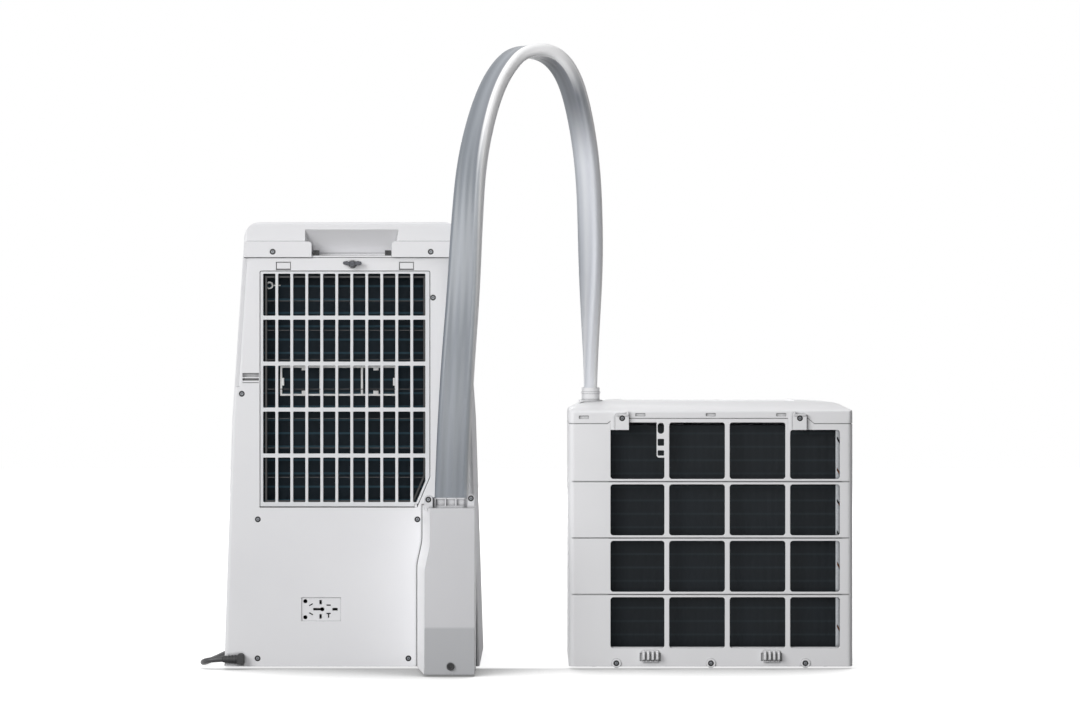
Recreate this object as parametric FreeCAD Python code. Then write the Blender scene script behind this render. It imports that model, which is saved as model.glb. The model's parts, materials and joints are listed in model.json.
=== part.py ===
import FreeCAD
import Part
import math
import os

# Split mobile air conditioner: indoor unit, window hose and outdoor unit. Millimetres, +Z up, rear faces -Y.

os.makedirs("parts", exist_ok=True)
Vector = FreeCAD.Vector

# ---------------------------------------------------------------- driving dimensions
wall = 2.5                    # moulded casing thickness
seat_gap = 0.3                # clearance between a moulding and the piece that lies in it
running_clearance = 0.05      # radial clearance of pins and shafts
skirt_height = 4.0            # underside of both casings above the floor
unit_gap = 139.0              # free width between the two casings

indoor_height = 697.5
indoor_depth = 300.0
foot_half = 199.5             # half width at the foot
waist_half = 187.0            # half width at the waist, where the taper steepens
waist_height = 388.0
top_half = 166.7              # half width at the top, before its corner radius
top_lean = 38.0               # how much less deep the casing is at its top
top_corner_radius = 26.0
front_corner_radius = 34.0
rear_corner_radius = 6.0
rear_lip = 16.0               # depth of the rear panel's side flanges
slope_start = 150.0           # flat part of the top, measured from the rear
slope_drop = 58.0             # height lost over the sloping control panel

cover_projection = 103.0      # hose cover, measured from the rear panel
cover_top = 256.2
cover_undercut = 4.0          # how far its lower front leans in
cover_undercut_height = 73.0
duct_centre = 157.0           # hose cover centre, right of the indoor unit's centre

outdoor_half = 221.7
outdoor_depth = 235.0
outdoor_shoulder = 403.0      # height where the side walls end
outdoor_lip = 20.0            # depth of the rear cover's side flanges
reveal = (1.1, 1.6)           # height and depth of the shadow groove at a joint of two mouldings

hose_width = 52.0
hose_thickness = 20.0
hose_corner = 8.0             # corner radius of its section
cord_diameter = 8.5

# ---------------------------------------------------------------- derived places
overall_half = foot_half + unit_gap / 2 + outdoor_half
indoor_x = foot_half - overall_half
outdoor_x = overall_half - outdoor_half
rear_y = cover_projection - (cover_projection + indoor_depth) / 2
indoor_front = rear_y + indoor_depth
outdoor_front = rear_y + outdoor_depth
far = 2000.0                  # size of cutting blocks
cover_seam = indoor_height - 55.2        # joint between top cover and the casing
outdoor_crown = outdoor_shoulder + 17.0
outdoor_seam = outdoor_shoulder - 19.8   # top cover's lower edge at the sides
outdoor_seam_rise = 8.2                  # and how much higher it runs between the brackets


# ---------------------------------------------------------------- shape helpers
def box(x, y, z):
    """Block from three (low, high) pairs."""
    return Part.makeBox(x[1] - x[0], y[1] - y[0], z[1] - z[0], Vector(x[0], y[0], z[0]))


def rod(axis, centre, radius, span):
    """Cylinder along an axis letter; centre holds the two other coordinates in x, y, z order."""
    low, high = span
    place = {"x": (low, centre[0], centre[1]), "y": (centre[0], low, centre[1]), "z": (centre[0], centre[1], low)}
    along = {"x": Vector(1, 0, 0), "y": Vector(0, 1, 0), "z": Vector(0, 0, 1)}
    return Part.makeCylinder(radius, high - low, Vector(*place[axis]), along[axis])


def tube(axis, centre, outer, inner, span):
    return rod(axis, centre, outer, span).cut(rod(axis, centre, inner, span))


def in_plane(plane, a, b, at):
    return {"xy": Vector(a, b, at), "xz": Vector(a, at, b), "yz": Vector(at, a, b)}[plane]


def outline(points, plane, at):
    """Closed wire through (a, b) or (a, b, corner radius) points."""
    corners = [(Vector(p[0], p[1], 0), p[2] if len(p) > 2 else 0.0) for p in points]
    edges = []
    ends = []
    for index, (corner, radius) in enumerate(corners):
        before = (corners[index - 1][0] - corner).normalize()
        after = (corners[(index + 1) % len(corners)][0] - corner).normalize()
        if radius <= 0.01:
            ends.append((corner, None, corner))
            continue
        half_angle = before.getAngle(after) / 2
        reach = radius / math.tan(half_angle)
        middle = corner + (before + after).normalize() * (radius / math.sin(half_angle) - radius)
        ends.append((corner + before * reach, middle, corner + after * reach))
    for index, (start, middle, stop) in enumerate(ends):
        flat = [in_plane(plane, p.x, p.y, at) for p in (start, stop, ends[(index + 1) % len(ends)][0])]
        if middle is not None:
            bend = in_plane(plane, middle.x, middle.y, at)
            edges.append(Part.Arc(flat[0], bend, flat[1]).toShape())
        if (flat[2] - flat[1]).Length > 0.001:
            edges.append(Part.LineSegment(flat[1], flat[2]).toShape())
    return Part.Wire(edges)


def prism(points, plane, span, inset=0.0):
    """Extruded outline; a positive inset shrinks it, a negative one grows it."""
    face = Part.Face(outline(points, plane, span[0]))
    if inset:
        face = face.makeOffset2D(-inset)
        if face.ShapeType == "Wire":
            face = Part.Face(face)
    return face.extrude(in_plane(plane, 0, 0, span[1] - span[0]))


def rectangle(a, b, radius=0.0):
    return [(a[0], b[0], radius), (a[1], b[0], radius), (a[1], b[1], radius), (a[0], b[1], radius)]


def fuse(shapes):
    shapes = list(shapes)
    return shapes[0].multiFuse(shapes[1:]).removeSplitter() if len(shapes) > 1 else shapes[0]


def group(shapes):
    return Part.makeCompound(list(shapes))


def carve(shape, cuts):
    """Cuts every tool in a list from the shape."""
    return shape.cut(list(cuts))


def mirrored(x, shape):
    """The shape and its mirror image about the plane X = x."""
    return [shape, shape.mirror(Vector(x, 0, 0), Vector(1, 0, 0))]


def export(name, shape):
    shape.exportStep(f"parts/{name}.step")
    print(name, len(shape.Solids), "solids", round(shape.Volume / 1000, 1), "cm3", shape.isValid())


# ---------------------------------------------------------------- indoor casing
def indoor_half_width(z):
    """Half width of the indoor casing: a slight taper to the waist, a stronger one above it."""
    if z < waist_height:
        return foot_half - (foot_half - waist_half) * z / waist_height
    return waist_half - (waist_half - top_half) * (z - waist_height) / (indoor_height - waist_height)


def indoor_front_at(z):
    """Y of the front wall, which leans back above the waist."""
    if z < waist_height:
        return indoor_front
    return indoor_front - top_lean * (z - waist_height) / (indoor_height - waist_height)


def indoor_section(z, inset):
    half = indoor_half_width(z) - inset
    rear = rear_y + inset
    front = indoor_front_at(z) - inset
    back_radius = max(rear_corner_radius - inset, 0.5)
    front_radius = max(front_corner_radius - inset, 0.5)
    return outline([(indoor_x - half, rear, back_radius), (indoor_x + half, rear, back_radius),
                    (indoor_x + half, front, front_radius), (indoor_x - half, front, front_radius)], "xy", z)


lean_ratio = top_lean / (indoor_height - waist_height)
slope_foot = indoor_height - slope_drop
slope_front = indoor_front_at(slope_foot)
side_profile = [(rear_y, -far / 4), (rear_y, indoor_height, 6), (rear_y + slope_start, indoor_height, 40),
                (slope_front, slope_foot, 30), (slope_front + lean_ratio * (slope_foot + far / 4), -far / 4)]


def indoor_shoulders():
    """Outline seen from behind, tall enough at its foot to pass outside the tapered walls."""
    drop = indoor_height - waist_height
    slant = (waist_half - top_half) / drop
    low = -100.0
    reach = top_half + slant * (indoor_height - low)
    return [(indoor_x - reach, low), (indoor_x + reach, low),
            (indoor_x + top_half, indoor_height, top_corner_radius),
            (indoor_x - top_half, indoor_height, top_corner_radius)]


def indoor_body(inset, bottom):
    """Solid of the indoor casing's outside, or of its inside when inset by the wall."""
    walls = Part.makeLoft([indoor_section(z, inset) for z in (bottom, waist_height, indoor_height)], True, True)
    lower = box((-far, far), (-far, far), (bottom, waist_height + 100))
    crown = prism(indoor_shoulders(), "xz", (-far, far), inset)
    crown = crown.fuse(lower)
    profile = prism(side_profile, "yz", (-far, far), inset)
    return walls.common(crown).common(profile)


indoor_outside = indoor_body(0.0, skirt_height)
indoor_inside = indoor_body(wall, skirt_height - 30)
indoor_shell = indoor_outside.cut(indoor_inside)

# intake opening and its hinged grille, in coordinates of the indoor unit's centre
grille_left = 44.4 - waist_half
grille_right = waist_half - 65.6
grille_bottom = 252.8
grille_top = cover_seam - 22.0
grille_corner = (20.0, 47.0)      # chamfer beside the hose cover: width, height
grille_thickness = 4.0
grille_gap = 1.0
grille_profile = [(indoor_x + grille_left, grille_bottom), (indoor_x + grille_right - grille_corner[0], grille_bottom),
                  (indoor_x + grille_right, grille_bottom + grille_corner[1]),
                  (indoor_x + grille_right, grille_top, 2), (indoor_x + grille_left, grille_top, 2)]
rim_depth = 12.0
window_columns = 11
window_rows = 5
window_bar = (4.3, 6.2)           # bars between the windows: upright, level
window_margin = (4.3, 6.6, 7.4, 3.6)      # border left, right, below and above the windows
last_row_extra = 4.1              # the lowest windows are this much taller
window_pitch = ((grille_right - grille_left - window_margin[0] - window_margin[1] + window_bar[0]) / window_columns,
                (grille_top - grille_bottom - window_margin[2] - window_margin[3] - last_row_extra + window_bar[1])
                / window_rows)
window_size = (window_pitch[0] - window_bar[0], window_pitch[1] - window_bar[1])

# fasteners
screw_head_radius = 3.4
screw_recess_radius = 4.6
screw_recess_depth = 1.6
screw_hole_radius = 2.1
screw_shank_radius = 2.0
screw_length = 12.0
screw_boss_radius = 5.2
panel_screw_places = [(grille_right + 5.3, grille_top - 40.9), (15.4 - waist_half, waist_height + 41.3),
                      (grille_left - 4.0, grille_bottom - 19.4), (grille_right - 19.1, grille_bottom - 19.4),
                      (grille_left - 4.4, 16.5), (grille_right - 33.1, 16.5)]
ear_screw_places = [(side * (top_half - 43.5), cover_seam + 8.5) for side in (-1, 1)]


def screw_seat(x, z, face_y):
    """Boss to add and hole to cut for a screw driven along +Y into a rear wall whose outside is at face_y."""
    boss = rod("y", (x, z), screw_boss_radius, (face_y + 1, face_y + screw_length - 3))
    hole = rod("y", (x, z), screw_hole_radius, (face_y - 1, face_y + screw_length))
    recess = rod("y", (x, z), screw_recess_radius, (face_y - 1, face_y + screw_recess_depth))
    return boss, hole.fuse(recess)


def screw(x, z, face_y):
    """Cross-head screw whose head lies on the floor of its recess."""
    seat = face_y + screw_recess_depth
    head = rod("y", (x, z), screw_head_radius, (seat - 1.2, seat))
    shank = rod("y", (x, z), screw_shank_radius, (seat, face_y + screw_length - 1))
    cross = group([box((x - 2, x + 2), (seat - 2, seat - 0.6), (z - 0.4, z + 0.4)),
                   box((x - 0.4, x + 0.4), (seat - 2, seat - 0.6), (z - 2, z + 2))])
    return head.fuse(shank).cut(cross.Solids)


# ---------------------------------------------------------------- rear panel
pocket_half = 73.0                # handle pocket in the top cover
pocket_top = indoor_height - 11.1
pocket_depth = 24.0
pocket_slant = 9.0
side_strip = 7.0                  # strip of the casing beside the rear panel, above the side screws
side_strip_foot = waist_height + 52.0
strip_bevel = (3.6, 1.4)          # bevel of the panel's edge along that strip: width, depth
catch_z = (waist_height + 61.9, waist_height + 73.6)      # side latch windows
catch_slot = 3.6                  # height of the deep slot along their foot
catch_rib = 1.8                   # rib above that slot
catch_bar = 2.7                   # bar left under them, above a thin groove
catch_depth = (5.0, 10.0)         # upper recess, slot
catch_outer = waist_half - 16.6
catch_inner = waist_half - 42.0
tab_z = (grille_top + 1.9, grille_top + 14.7)             # finger notches above the grille
tab_gap = (1.1, 2.2)              # gaps round the tongue in each notch: sides and top, foot
tab_half = 11.6
tab_offset = 96.0
grille_middle = (grille_left + grille_right) / 2
wing_screw_x = 1.3
wing_screw_z = grille_top + 11.2
wing_shank_radius = 2.5
wing_boss_radius = 6.0
plug_park_x = (-78.5, -17.0)
plug_park_z = (74.6, 111.5)
notch_x = (21.5 - foot_half, 31.9 - foot_half)            # mains lead outlet
notch_z = (8.0, 24.6)
gland_z = 16.1


def side_strips():
    """The casing's own strips beside the upper rear panel."""
    inner_low = indoor_half_width(side_strip_foot) - side_strip
    inner_high = indoor_half_width(cover_seam) - side_strip
    strip = prism([(indoor_x + inner_low, side_strip_foot), (indoor_x + far / 2, side_strip_foot),
                   (indoor_x + far / 2, cover_seam + 1), (indoor_x + inner_high, cover_seam + 1)],
                  "xz", (rear_y - 1, rear_y + rear_lip))
    return fuse(mirrored(indoor_x, strip))


def strip_bevels():
    """What is cut off the panel's edges and the strips, so that each edge slopes down to its strip."""
    width, depth = strip_bevel
    low = indoor_x + indoor_half_width(side_strip_foot) - side_strip
    high = indoor_x + indoor_half_width(cover_seam) - side_strip
    corners = [(low - width, rear_y), (low, rear_y + depth), (low + 40, rear_y + depth), (low + 40, rear_y - 1),
               (low - width, rear_y - 1)]
    face = Part.Face(outline(corners, "xy", side_strip_foot))
    bevel = face.extrude(Vector(high - low, 0, cover_seam - side_strip_foot))
    return mirrored(indoor_x, bevel)


def cover_joint():
    """Narrow groove in the panel round the foot of the hose cover."""
    wide = Part.Face(cover_face(-reveal[0], cover_flare, rear_y - 1, skirt_height - 1))
    cover = Part.Face(cover_face(0.0, cover_flare, rear_y - 1, skirt_height - 1))
    return wide.cut(cover).extrude(Vector(0, 1 + reveal[1], 0))


def plug_park_holes():
    """Holes that take the pins of several countries' plugs, as offsets from the recess's centre."""
    mid_x = indoor_x + sum(plug_park_x) / 2
    mid_z = sum(plug_park_z) / 2
    span = (rear_y - 1, rear_y + 10)
    cuts = [rod("y", (mid_x + x, mid_z + z), 3.2, span) for x, z in ((-24.8, 12.5), (-24.8, -12.5), (1.7, 0))]
    slots = [(-0.9, 11.1, 3.6, 6.8, 0), (-0.9, -11.1, 3.6, 6.8, 0), (-6.2, 0.0, 12.6, 3.6, 0), (21.5, 0.0, 8.2, 4.0, 0),
             (11.5, 6.4, 6.6, 2.0, 0), (11.5, -6.6, 6.6, 2.0, 0), (11.5, -9.4, 2.0, 7.6, 0), (-16.0, 7.0, 6.4, 1.8, 30),
             (-16.0, -7.0, 6.4, 1.8, -30)]
    for x, z, width, height, tilt in slots:
        slot = box((-width / 2, width / 2), span, (-height / 2, height / 2))
        slot.rotate(Vector(0, 0, 0), Vector(0, 1, 0), -tilt)
        slot.translate(Vector(mid_x + x, 0, mid_z + z))
        cuts.append(slot)
    return cuts


hinge_y = rear_y + grille_thickness / 2
hinge_z = grille_bottom + grille_thickness / 2
hinge_pin_radius = 1.2
hinge_lug_x = (grille_right - grille_corner[0] - 3.4, grille_right - grille_corner[0] + 0.6)


def rear_panel():
    region = box((-far, far), (rear_y - 1, rear_y + rear_lip), (skirt_height, cover_seam))
    panel = indoor_shell.common(region).cut(side_strips())
    rim = prism(grille_profile, "xz", (rear_y + 1, rear_y + rim_depth), -grille_gap - wall)
    mouth = prism(grille_profile, "xz", (rear_y - 1, rear_y + rim_depth + 1), -grille_gap)
    thread = (indoor_x + wing_screw_x, wing_screw_z)
    adds = [rim.cut(mouth), rod("y", thread, wing_boss_radius, (rear_y + 1, rear_y + 10))]
    cuts = [rod("y", thread, wing_shank_radius + running_clearance, (rear_y - 1, rear_y + 11))]
    for x, z in panel_screw_places:
        boss, hole = screw_seat(indoor_x + x, z, rear_y)
        adds.append(boss)
        cuts.append(hole)
    for side in (-1, 1):
        low, high = sorted((indoor_x + side * catch_inner, indoor_x + side * catch_outer))
        adds.append(box((low - 2, high + 2), (rear_y + 1, rear_y + catch_depth[1] + 2), (catch_z[0] - 2, catch_z[1] + 2)))
        cuts.append(box((low, high), (rear_y - 1, rear_y + catch_depth[0]), (catch_z[0] + catch_slot + catch_rib, catch_z[1])))
        cuts.append(box((low, high), (rear_y - 1, rear_y + catch_depth[1]), (catch_z[0], catch_z[0] + catch_slot)))
        cuts.append(box((low, high), (rear_y - 1, rear_y + reveal[1]),
                        (catch_z[0] - catch_bar - reveal[0], catch_z[0] - catch_bar)))
    panel = panel.cut(mouth)
    for add in adds:
        panel = panel.fuse(add)
    middle = indoor_x + grille_middle
    for side in (-1, 1):
        tab = (middle + side * tab_offset - tab_half, middle + side * tab_offset + tab_half)
        panel = panel.fuse(box((tab[0] - 2, tab[1] + 2), (rear_y + 1, rear_y + 8), (tab_z[0] - 0.5, tab_z[1] + 2)))
        tongue = box((tab[0] + tab_gap[0], tab[1] - tab_gap[0]), (rear_y + 0.8, rear_y + 7),
                     (tab_z[0] + tab_gap[1], tab_z[1] - tab_gap[0]))
        cuts.append(box(tab, (rear_y - 1, rear_y + 6), tab_z).cut(tongue))
    park = (indoor_x + plug_park_x[0], indoor_x + plug_park_x[1])
    panel = panel.fuse(box((park[0] - 2, park[1] + 2), (rear_y + 1, rear_y + 4), (plug_park_z[0] - 2, plug_park_z[1] + 2)))
    cuts.append(box(park, (rear_y - 1, rear_y + 1.2), plug_park_z))
    cuts += plug_park_holes()
    cuts.append(prism([(indoor_x + notch_x[0], notch_z[0]), (indoor_x + notch_x[1], notch_z[0]),
                       (indoor_x + notch_x[1], notch_z[1], 4), (indoor_x + notch_x[0], notch_z[1], 4)],
                      "xz", (rear_y - 1, rear_y + 4)))
    cuts.append(box((-far, indoor_x + far / 2), (rear_y - 1, rear_y + reveal[1]), (cover_seam - reveal[0], cover_seam + 1)))
    cuts.append(cover_joint())
    cuts += strip_bevels()
    panel = carve(panel, cuts)
    lug = box((indoor_x + hinge_lug_x[0], indoor_x + hinge_lug_x[1]), (rear_y + 0.5, rear_y + rim_depth),
              (grille_bottom - grille_gap - 0.5, hinge_z + 2.4))
    panel = panel.fuse(lug)
    pin_holes = rod("x", (hinge_y, hinge_z), hinge_pin_radius + running_clearance,
                    (indoor_x + grille_left - grille_gap - wall - 1, indoor_x + hinge_lug_x[1] + 1))
    return panel.cut(pin_holes)


# ---------------------------------------------------------------- intake grille and filter
def intake_grille():
    """Window grid that tilts out about a round bead along its lower edge."""
    plate = prism(grille_profile, "xz", (rear_y, rear_y + grille_thickness))
    cuts = []
    for column in range(window_columns):
        for row in range(window_rows):
            x = indoor_x + grille_left + window_margin[0] + column * window_pitch[0]
            top = grille_top - window_margin[3] - row * window_pitch[1]
            foot = top - window_size[1] - (last_row_extra if row == window_rows - 1 else 0)
            cuts.append(prism(rectangle((x, x + window_size[0]), (foot, top), 1.5), "xz",
                              (rear_y - 1, rear_y + grille_thickness + 1)))
    border = prism(grille_profile, "xz", (rear_y - 2, rear_y + grille_thickness + 2), window_margin[3] - 0.1)
    plate = carve(plate, group(cuts).common(border).Solids)
    low_edge = box((indoor_x + grille_left - 1, indoor_x + grille_right + 1), (rear_y - 1, rear_y + grille_thickness + 1),
                   (grille_bottom - 1, hinge_z))
    bead_end = indoor_x + hinge_lug_x[0] - seat_gap
    bead = rod("x", (hinge_y, hinge_z), grille_thickness / 2, (indoor_x + grille_left, bead_end))
    lug_room = box((bead_end, indoor_x + grille_right + 1), (rear_y - 1, rear_y + grille_thickness + 1),
                   (grille_bottom - 1, hinge_z + 2.8))
    pin = rod("x", (hinge_y, hinge_z), hinge_pin_radius,
              (indoor_x + grille_left - grille_gap - wall + 0.2, indoor_x + hinge_lug_x[1] - 0.2))
    return fuse([plate.cut(low_edge).cut(lug_room), bead, pin])


filter_thickness = 4.0
filter_inset = 7.0
filter_bar = 3.0
filter_ribs = 7


def intake_filter():
    """Slim filter frame clipped behind the grille, with cross ribs that carry its net."""
    span = (rear_y + grille_thickness, rear_y + grille_thickness + filter_thickness)
    frame = prism(grille_profile, "xz", span, filter_inset)
    opening = prism(grille_profile, "xz", (span[0] - 1, span[1] + 1), filter_inset + filter_bar)
    ribs = []
    height = grille_top - grille_bottom
    for index in range(1, filter_ribs + 1):
        z = grille_bottom + height * index / (filter_ribs + 1)
        ribs.append(box((indoor_x + grille_left, indoor_x + grille_right), (span[0] + 1, span[0] + 2.2), (z - 0.6, z + 0.6)))
    return fuse([frame.cut(opening), group(ribs).common(prism(grille_profile, "xz", span, filter_inset + 0.5))])


# ---------------------------------------------------------------- wing screw that locks the grille

def wing_screw():
    """Thumb screw: threaded shank, round body and two flat wings."""
    x = indoor_x + wing_screw_x
    z = wing_screw_z
    shank = rod("y", (x, z), wing_shank_radius, (rear_y - 2, rear_y + 12))
    body = Part.makeCone(6.2, 4.2, 8, Vector(x, rear_y - 2, z), Vector(0, -1, 0))
    collar = rod("y", (x, z), 6.2, (rear_y - 2, rear_y - seat_gap))
    wing = prism([(x + 2, z - 2.4), (x + 13, z - 1.2, 2), (x + 16.5, z + 3.4, 2.5), (x + 9, z + 4.6, 2), (x + 2, z + 3)],
                 "xz", (rear_y - 8.5, rear_y - 5.7))
    return fuse([shank, collar, body] + mirrored(x, wing))


# ---------------------------------------------------------------- top cover, control panel and buttons
slope_angle = math.atan2(slope_drop, slope_front - rear_y - slope_start)
slope_middle = Vector(indoor_x, (rear_y + slope_start + slope_front) / 2, indoor_height - slope_drop / 2)
panel_half = (104.0, 34.0)       # control panel: half width, half height on the slope
panel_flange = 4.0
button_half = (9.0, 6.0)
button_travel = 1.0
button_names = ("power", "mode", "lower", "raise")
button_pitch = 30.0
display_half = (22.0, 11.0)


def on_slope(shape):
    """Turns a shape drawn flat, with its top face at z = 0, on to the sloping control face."""
    turned = shape.copy()
    turned.rotate(Vector(0, 0, 0), Vector(1, 0, 0), -math.degrees(slope_angle))
    turned.translate(slope_middle)
    return turned


def pocket(grow):
    """Handle pocket: a scoop whose back slopes in from the upper to the lower edge, with slanted cheeks."""
    foot = cover_seam + wall - grow
    lid = pocket_top + grow
    mouth = rectangle((indoor_x - pocket_half - grow, indoor_x + pocket_half + grow), (foot, lid))
    inner = pocket_half - pocket_slant + grow
    floor = rectangle((indoor_x - inner, indoor_x + inner), (foot, foot + pocket_floor + 2 * grow))
    return Part.makeLoft([outline(mouth, "xz", rear_y - (0.5 if grow == 0 else 0)),
                          outline(floor, "xz", rear_y + pocket_depth + grow)], True, True)


pocket_floor = 4.0
ear_inner = 62.5
ear_top = cover_seam + 24.5
ear_height = 2.5
cleat_x = 56.2
cleat_half = 4.8
cleat_depth = (4.0, 10.0)


def top_cover():
    cover = indoor_shell.common(box((-far, far), (-far, far), (cover_seam, far)))
    shelf = prism(side_profile, "yz", (-far, far), wall).common(indoor_inside)
    slope_seat = on_slope(box((-panel_half[0] - panel_flange - 2, panel_half[0] + panel_flange + 2),
                              (-panel_half[1] - panel_flange, panel_half[1] + panel_flange), (-wall - 3.0, -wall)))
    outer_limit = indoor_half_width(ear_top)
    ear = prism([(indoor_x + ear_inner, cover_seam), (indoor_x + indoor_half_width(cover_seam) - 2, cover_seam),
                 (indoor_x + outer_limit - 2, ear_top, 3), (indoor_x + ear_inner, ear_top, 5)],
                "xz", (rear_y - ear_height, rear_y + 1))
    adds = mirrored(indoor_x, ear) + [pocket(wall).common(indoor_outside), slope_seat.common(shelf)]
    cuts = [pocket(0.0)]
    for x, z in ear_screw_places:
        boss, hole = screw_seat(indoor_x + x, z, rear_y - ear_height)
        adds.append(boss)
        cuts.append(hole)
    window = on_slope(box((-panel_half[0] - seat_gap, panel_half[0] + seat_gap),
                          (-panel_half[1] - seat_gap, panel_half[1] + seat_gap), (-wall, 10)))
    under = on_slope(box((-panel_half[0] + panel_flange, panel_half[0] - panel_flange),
                         (-panel_half[1] + panel_flange, panel_half[1] - panel_flange), (-30, 5)))
    return carve(fuse([cover] + adds), cuts + [window, under])


def pocket_cleats():
    """Two square clips in the pocket's lower corners, each with a screw socket, that hold the cover to the panel."""
    floor = cover_seam + wall
    cleat = box((indoor_x + cleat_x - cleat_half, indoor_x + cleat_x + cleat_half),
                (rear_y + cleat_depth[0], rear_y + cleat_depth[1]), (floor, floor + 2 * cleat_half - 1))
    socket = rod("y", (indoor_x + cleat_x, floor + cleat_half), cleat_half / 2, (rear_y, rear_y + cleat_depth[0] + 1.5))
    return group(mirrored(indoor_x, cleat.cut(socket)))


def button_x(index):
    left = -panel_half[0] + 20
    return left + index * button_pitch if index < 2 else -left - (3 - index) * button_pitch


def control_panel():
    """Plate laid in the slope's window, with a guide bore under each button."""
    plate = box((-panel_half[0], panel_half[0]), (-panel_half[1], panel_half[1]), (-wall, 0))
    cuts = [box((-display_half[0] - seat_gap, display_half[0] + seat_gap),
                (-display_half[1] - seat_gap, display_half[1] + seat_gap), (-1.2, 1))]
    for index in range(len(button_names)):
        x = button_x(index)
        cuts.append(prism(rectangle((x - button_half[0] - 0.2, x + button_half[0] + 0.2),
                                    (-button_half[1] - 0.2, button_half[1] + 0.2), 5), "xy", (-1.5, 1)))
        cuts.append(rod("z", (x, 0), 2.0 + running_clearance, (-wall - 1, 1)))
    return on_slope(carve(plate, cuts))


def button(index):
    """Key cap on a stem; it stands proud by a little more than its travel."""
    x = button_x(index)
    cap = prism(rectangle((x - button_half[0], x + button_half[0]), (-button_half[1], button_half[1]), 4.8), "xy",
                (-1.5 + button_travel, 1.2))
    return on_slope(cap.fuse(rod("z", (x, 0), 2.0, (-wall - 2, 0))))


def display_window():
    return on_slope(box((-display_half[0], display_half[0]), (-display_half[1], display_half[1]), (-1.2, 0.3)))


# ---------------------------------------------------------------- front casing, outlet and flap
outlet_half = 142.0
outlet_z = (cover_seam - 142.3, cover_seam - 46.3)
outlet_side = 3.0
outlet_depth = 46.0
outlet_vanes_count = 9
flap_thickness = 3.0
flap_pin_radius = 2.4


def front_shell():
    shell = indoor_shell.common(box((-far, far), (rear_y - 1, far), (skirt_height, cover_seam)))
    panel_region = box((-far, far), (rear_y - 1, rear_y + rear_lip), (skirt_height, cover_seam)).cut(side_strips())
    shell = shell.cut(panel_region)
    mouth = box((indoor_x - outlet_half, indoor_x + outlet_half), (indoor_front - 120, far), outlet_z)
    grooves = []
    for index in range(3):
        z = waist_height + 16 + index * 26
        depth = indoor_front_at(z) - 1.0
        grooves.append(box((indoor_x - 120, indoor_x + 120), (depth, depth + 20), (z, z + 2)))
    seam_groove = indoor_outside.cut(indoor_body(reveal[1], skirt_height - 30))
    seam_groove = seam_groove.common(box((-far, far), (rear_y - 1, far), (cover_seam - reveal[0], cover_seam)))
    return carve(shell, [mouth, seam_groove] + grooves + strip_bevels())


def outlet_line(inset, low, high):
    """Two points on the sloping front face, moved inward by an inset."""
    return [(indoor_front_at(low) - inset, low), (indoor_front_at(high) - inset, high)]


flap_inset = (4.2, 7.2)          # hinge line behind the front face and above the outlet's lower edge
flap_hinge = (indoor_front_at(outlet_z[0] + flap_inset[1]) - flap_inset[0], outlet_z[0] + flap_inset[1])
outlet_back = indoor_front_at(outlet_z[0]) - outlet_depth


def outlet_frame():
    """Box behind the flap with upright vanes that steer the air sideways."""
    low, high = outlet_z
    half = outlet_half - seat_gap
    front = outlet_line(0.5, low + seat_gap, high - seat_gap)
    profile = [(outlet_back, low + seat_gap)] + front + [(outlet_back, high - seat_gap)]
    outer = prism(profile, "yz", (indoor_x - half, indoor_x + half))
    inner = prism(rectangle((outlet_back - 1, front[0][0] + 9), (low + 2.5, high - 2.5)), "yz", (indoor_x - half + outlet_side, indoor_x + half - outlet_side))
    frame = outer.cut(inner)
    vanes = []
    for index in range(outlet_vanes_count):
        x = indoor_x + (index - (outlet_vanes_count - 1) / 2) * 2 * half / (outlet_vanes_count + 1)
        vanes.append(box((x - 0.8, x + 0.8), (outlet_back + 2, front[0][0] - 22), (low + 1, high - 1)))
    bores = rod("x", flap_hinge, flap_pin_radius + running_clearance, (indoor_x - half - 1, indoor_x + half + 1))
    return fuse([frame] + vanes).cut(bores)


def outlet_flap():
    """Curved-back blade that closes the outlet and swings down on end pins."""
    half = outlet_half - seat_gap - outlet_side - 0.5
    base = flap_hinge[1]
    outer = outlet_line(0.0, base, outlet_z[1] - 4.0)
    inner = outlet_line(flap_thickness, base, outlet_z[1] - 4.0)
    blade = prism(outer + inner[::-1], "yz", (indoor_x - half, indoor_x + half))
    bead = rod("x", flap_hinge, 4.0, (indoor_x - half, indoor_x + half))
    web = prism([(flap_hinge[0], base), (outer[0][0], base), (indoor_front_at(base + 8), base + 8),
                 (indoor_front_at(base + 8) - flap_thickness, base + 8)], "yz", (indoor_x - half, indoor_x + half))
    pin = rod("x", flap_hinge, flap_pin_radius, (indoor_x - outlet_half + 0.8, indoor_x + outlet_half - 0.8))
    return fuse([blade, bead, web, pin])


# ---------------------------------------------------------------- base pan and castors
pan_floor = (8.0, 10.5)
pan_rim = 36.0
castor_well_radius = 29.0
castor_roof = 41.5
castor_boss_top = 56.0
castor_stem_radius = 4.0
castor_trail = 8.0
castor_wheel_radius = 15.0
castor_wheel_width = 14.0
castor_axle_radius = 2.5
castor_half_x = foot_half - 59.5
castor_inset_y = (58.0, 60.0)    # from the rear and from the front
castor_places = {"rear_left": (-1, 0), "rear_right": (1, 0), "front_left": (-1, 1), "front_right": (1, 1)}


def castor_centre(name):
    side, front = castor_places[name]
    y = indoor_front - castor_inset_y[1] if front else rear_y + castor_inset_y[0]
    return indoor_x + side * castor_half_x, y


def panel_boss_room():
    """Space kept free in pan and deck round the rear panel's screw bosses and the mains gland."""
    room = [rod("y", (indoor_x + x, z), screw_boss_radius + seat_gap, (rear_y, rear_y + screw_length + 1))
            for x, z in panel_screw_places]
    gland = box((indoor_x + notch_x[0] - 3, indoor_x + notch_x[1] + 3), (rear_y, rear_y + 6), (0, notch_z[1] + 4))
    return room + [gland]


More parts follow.
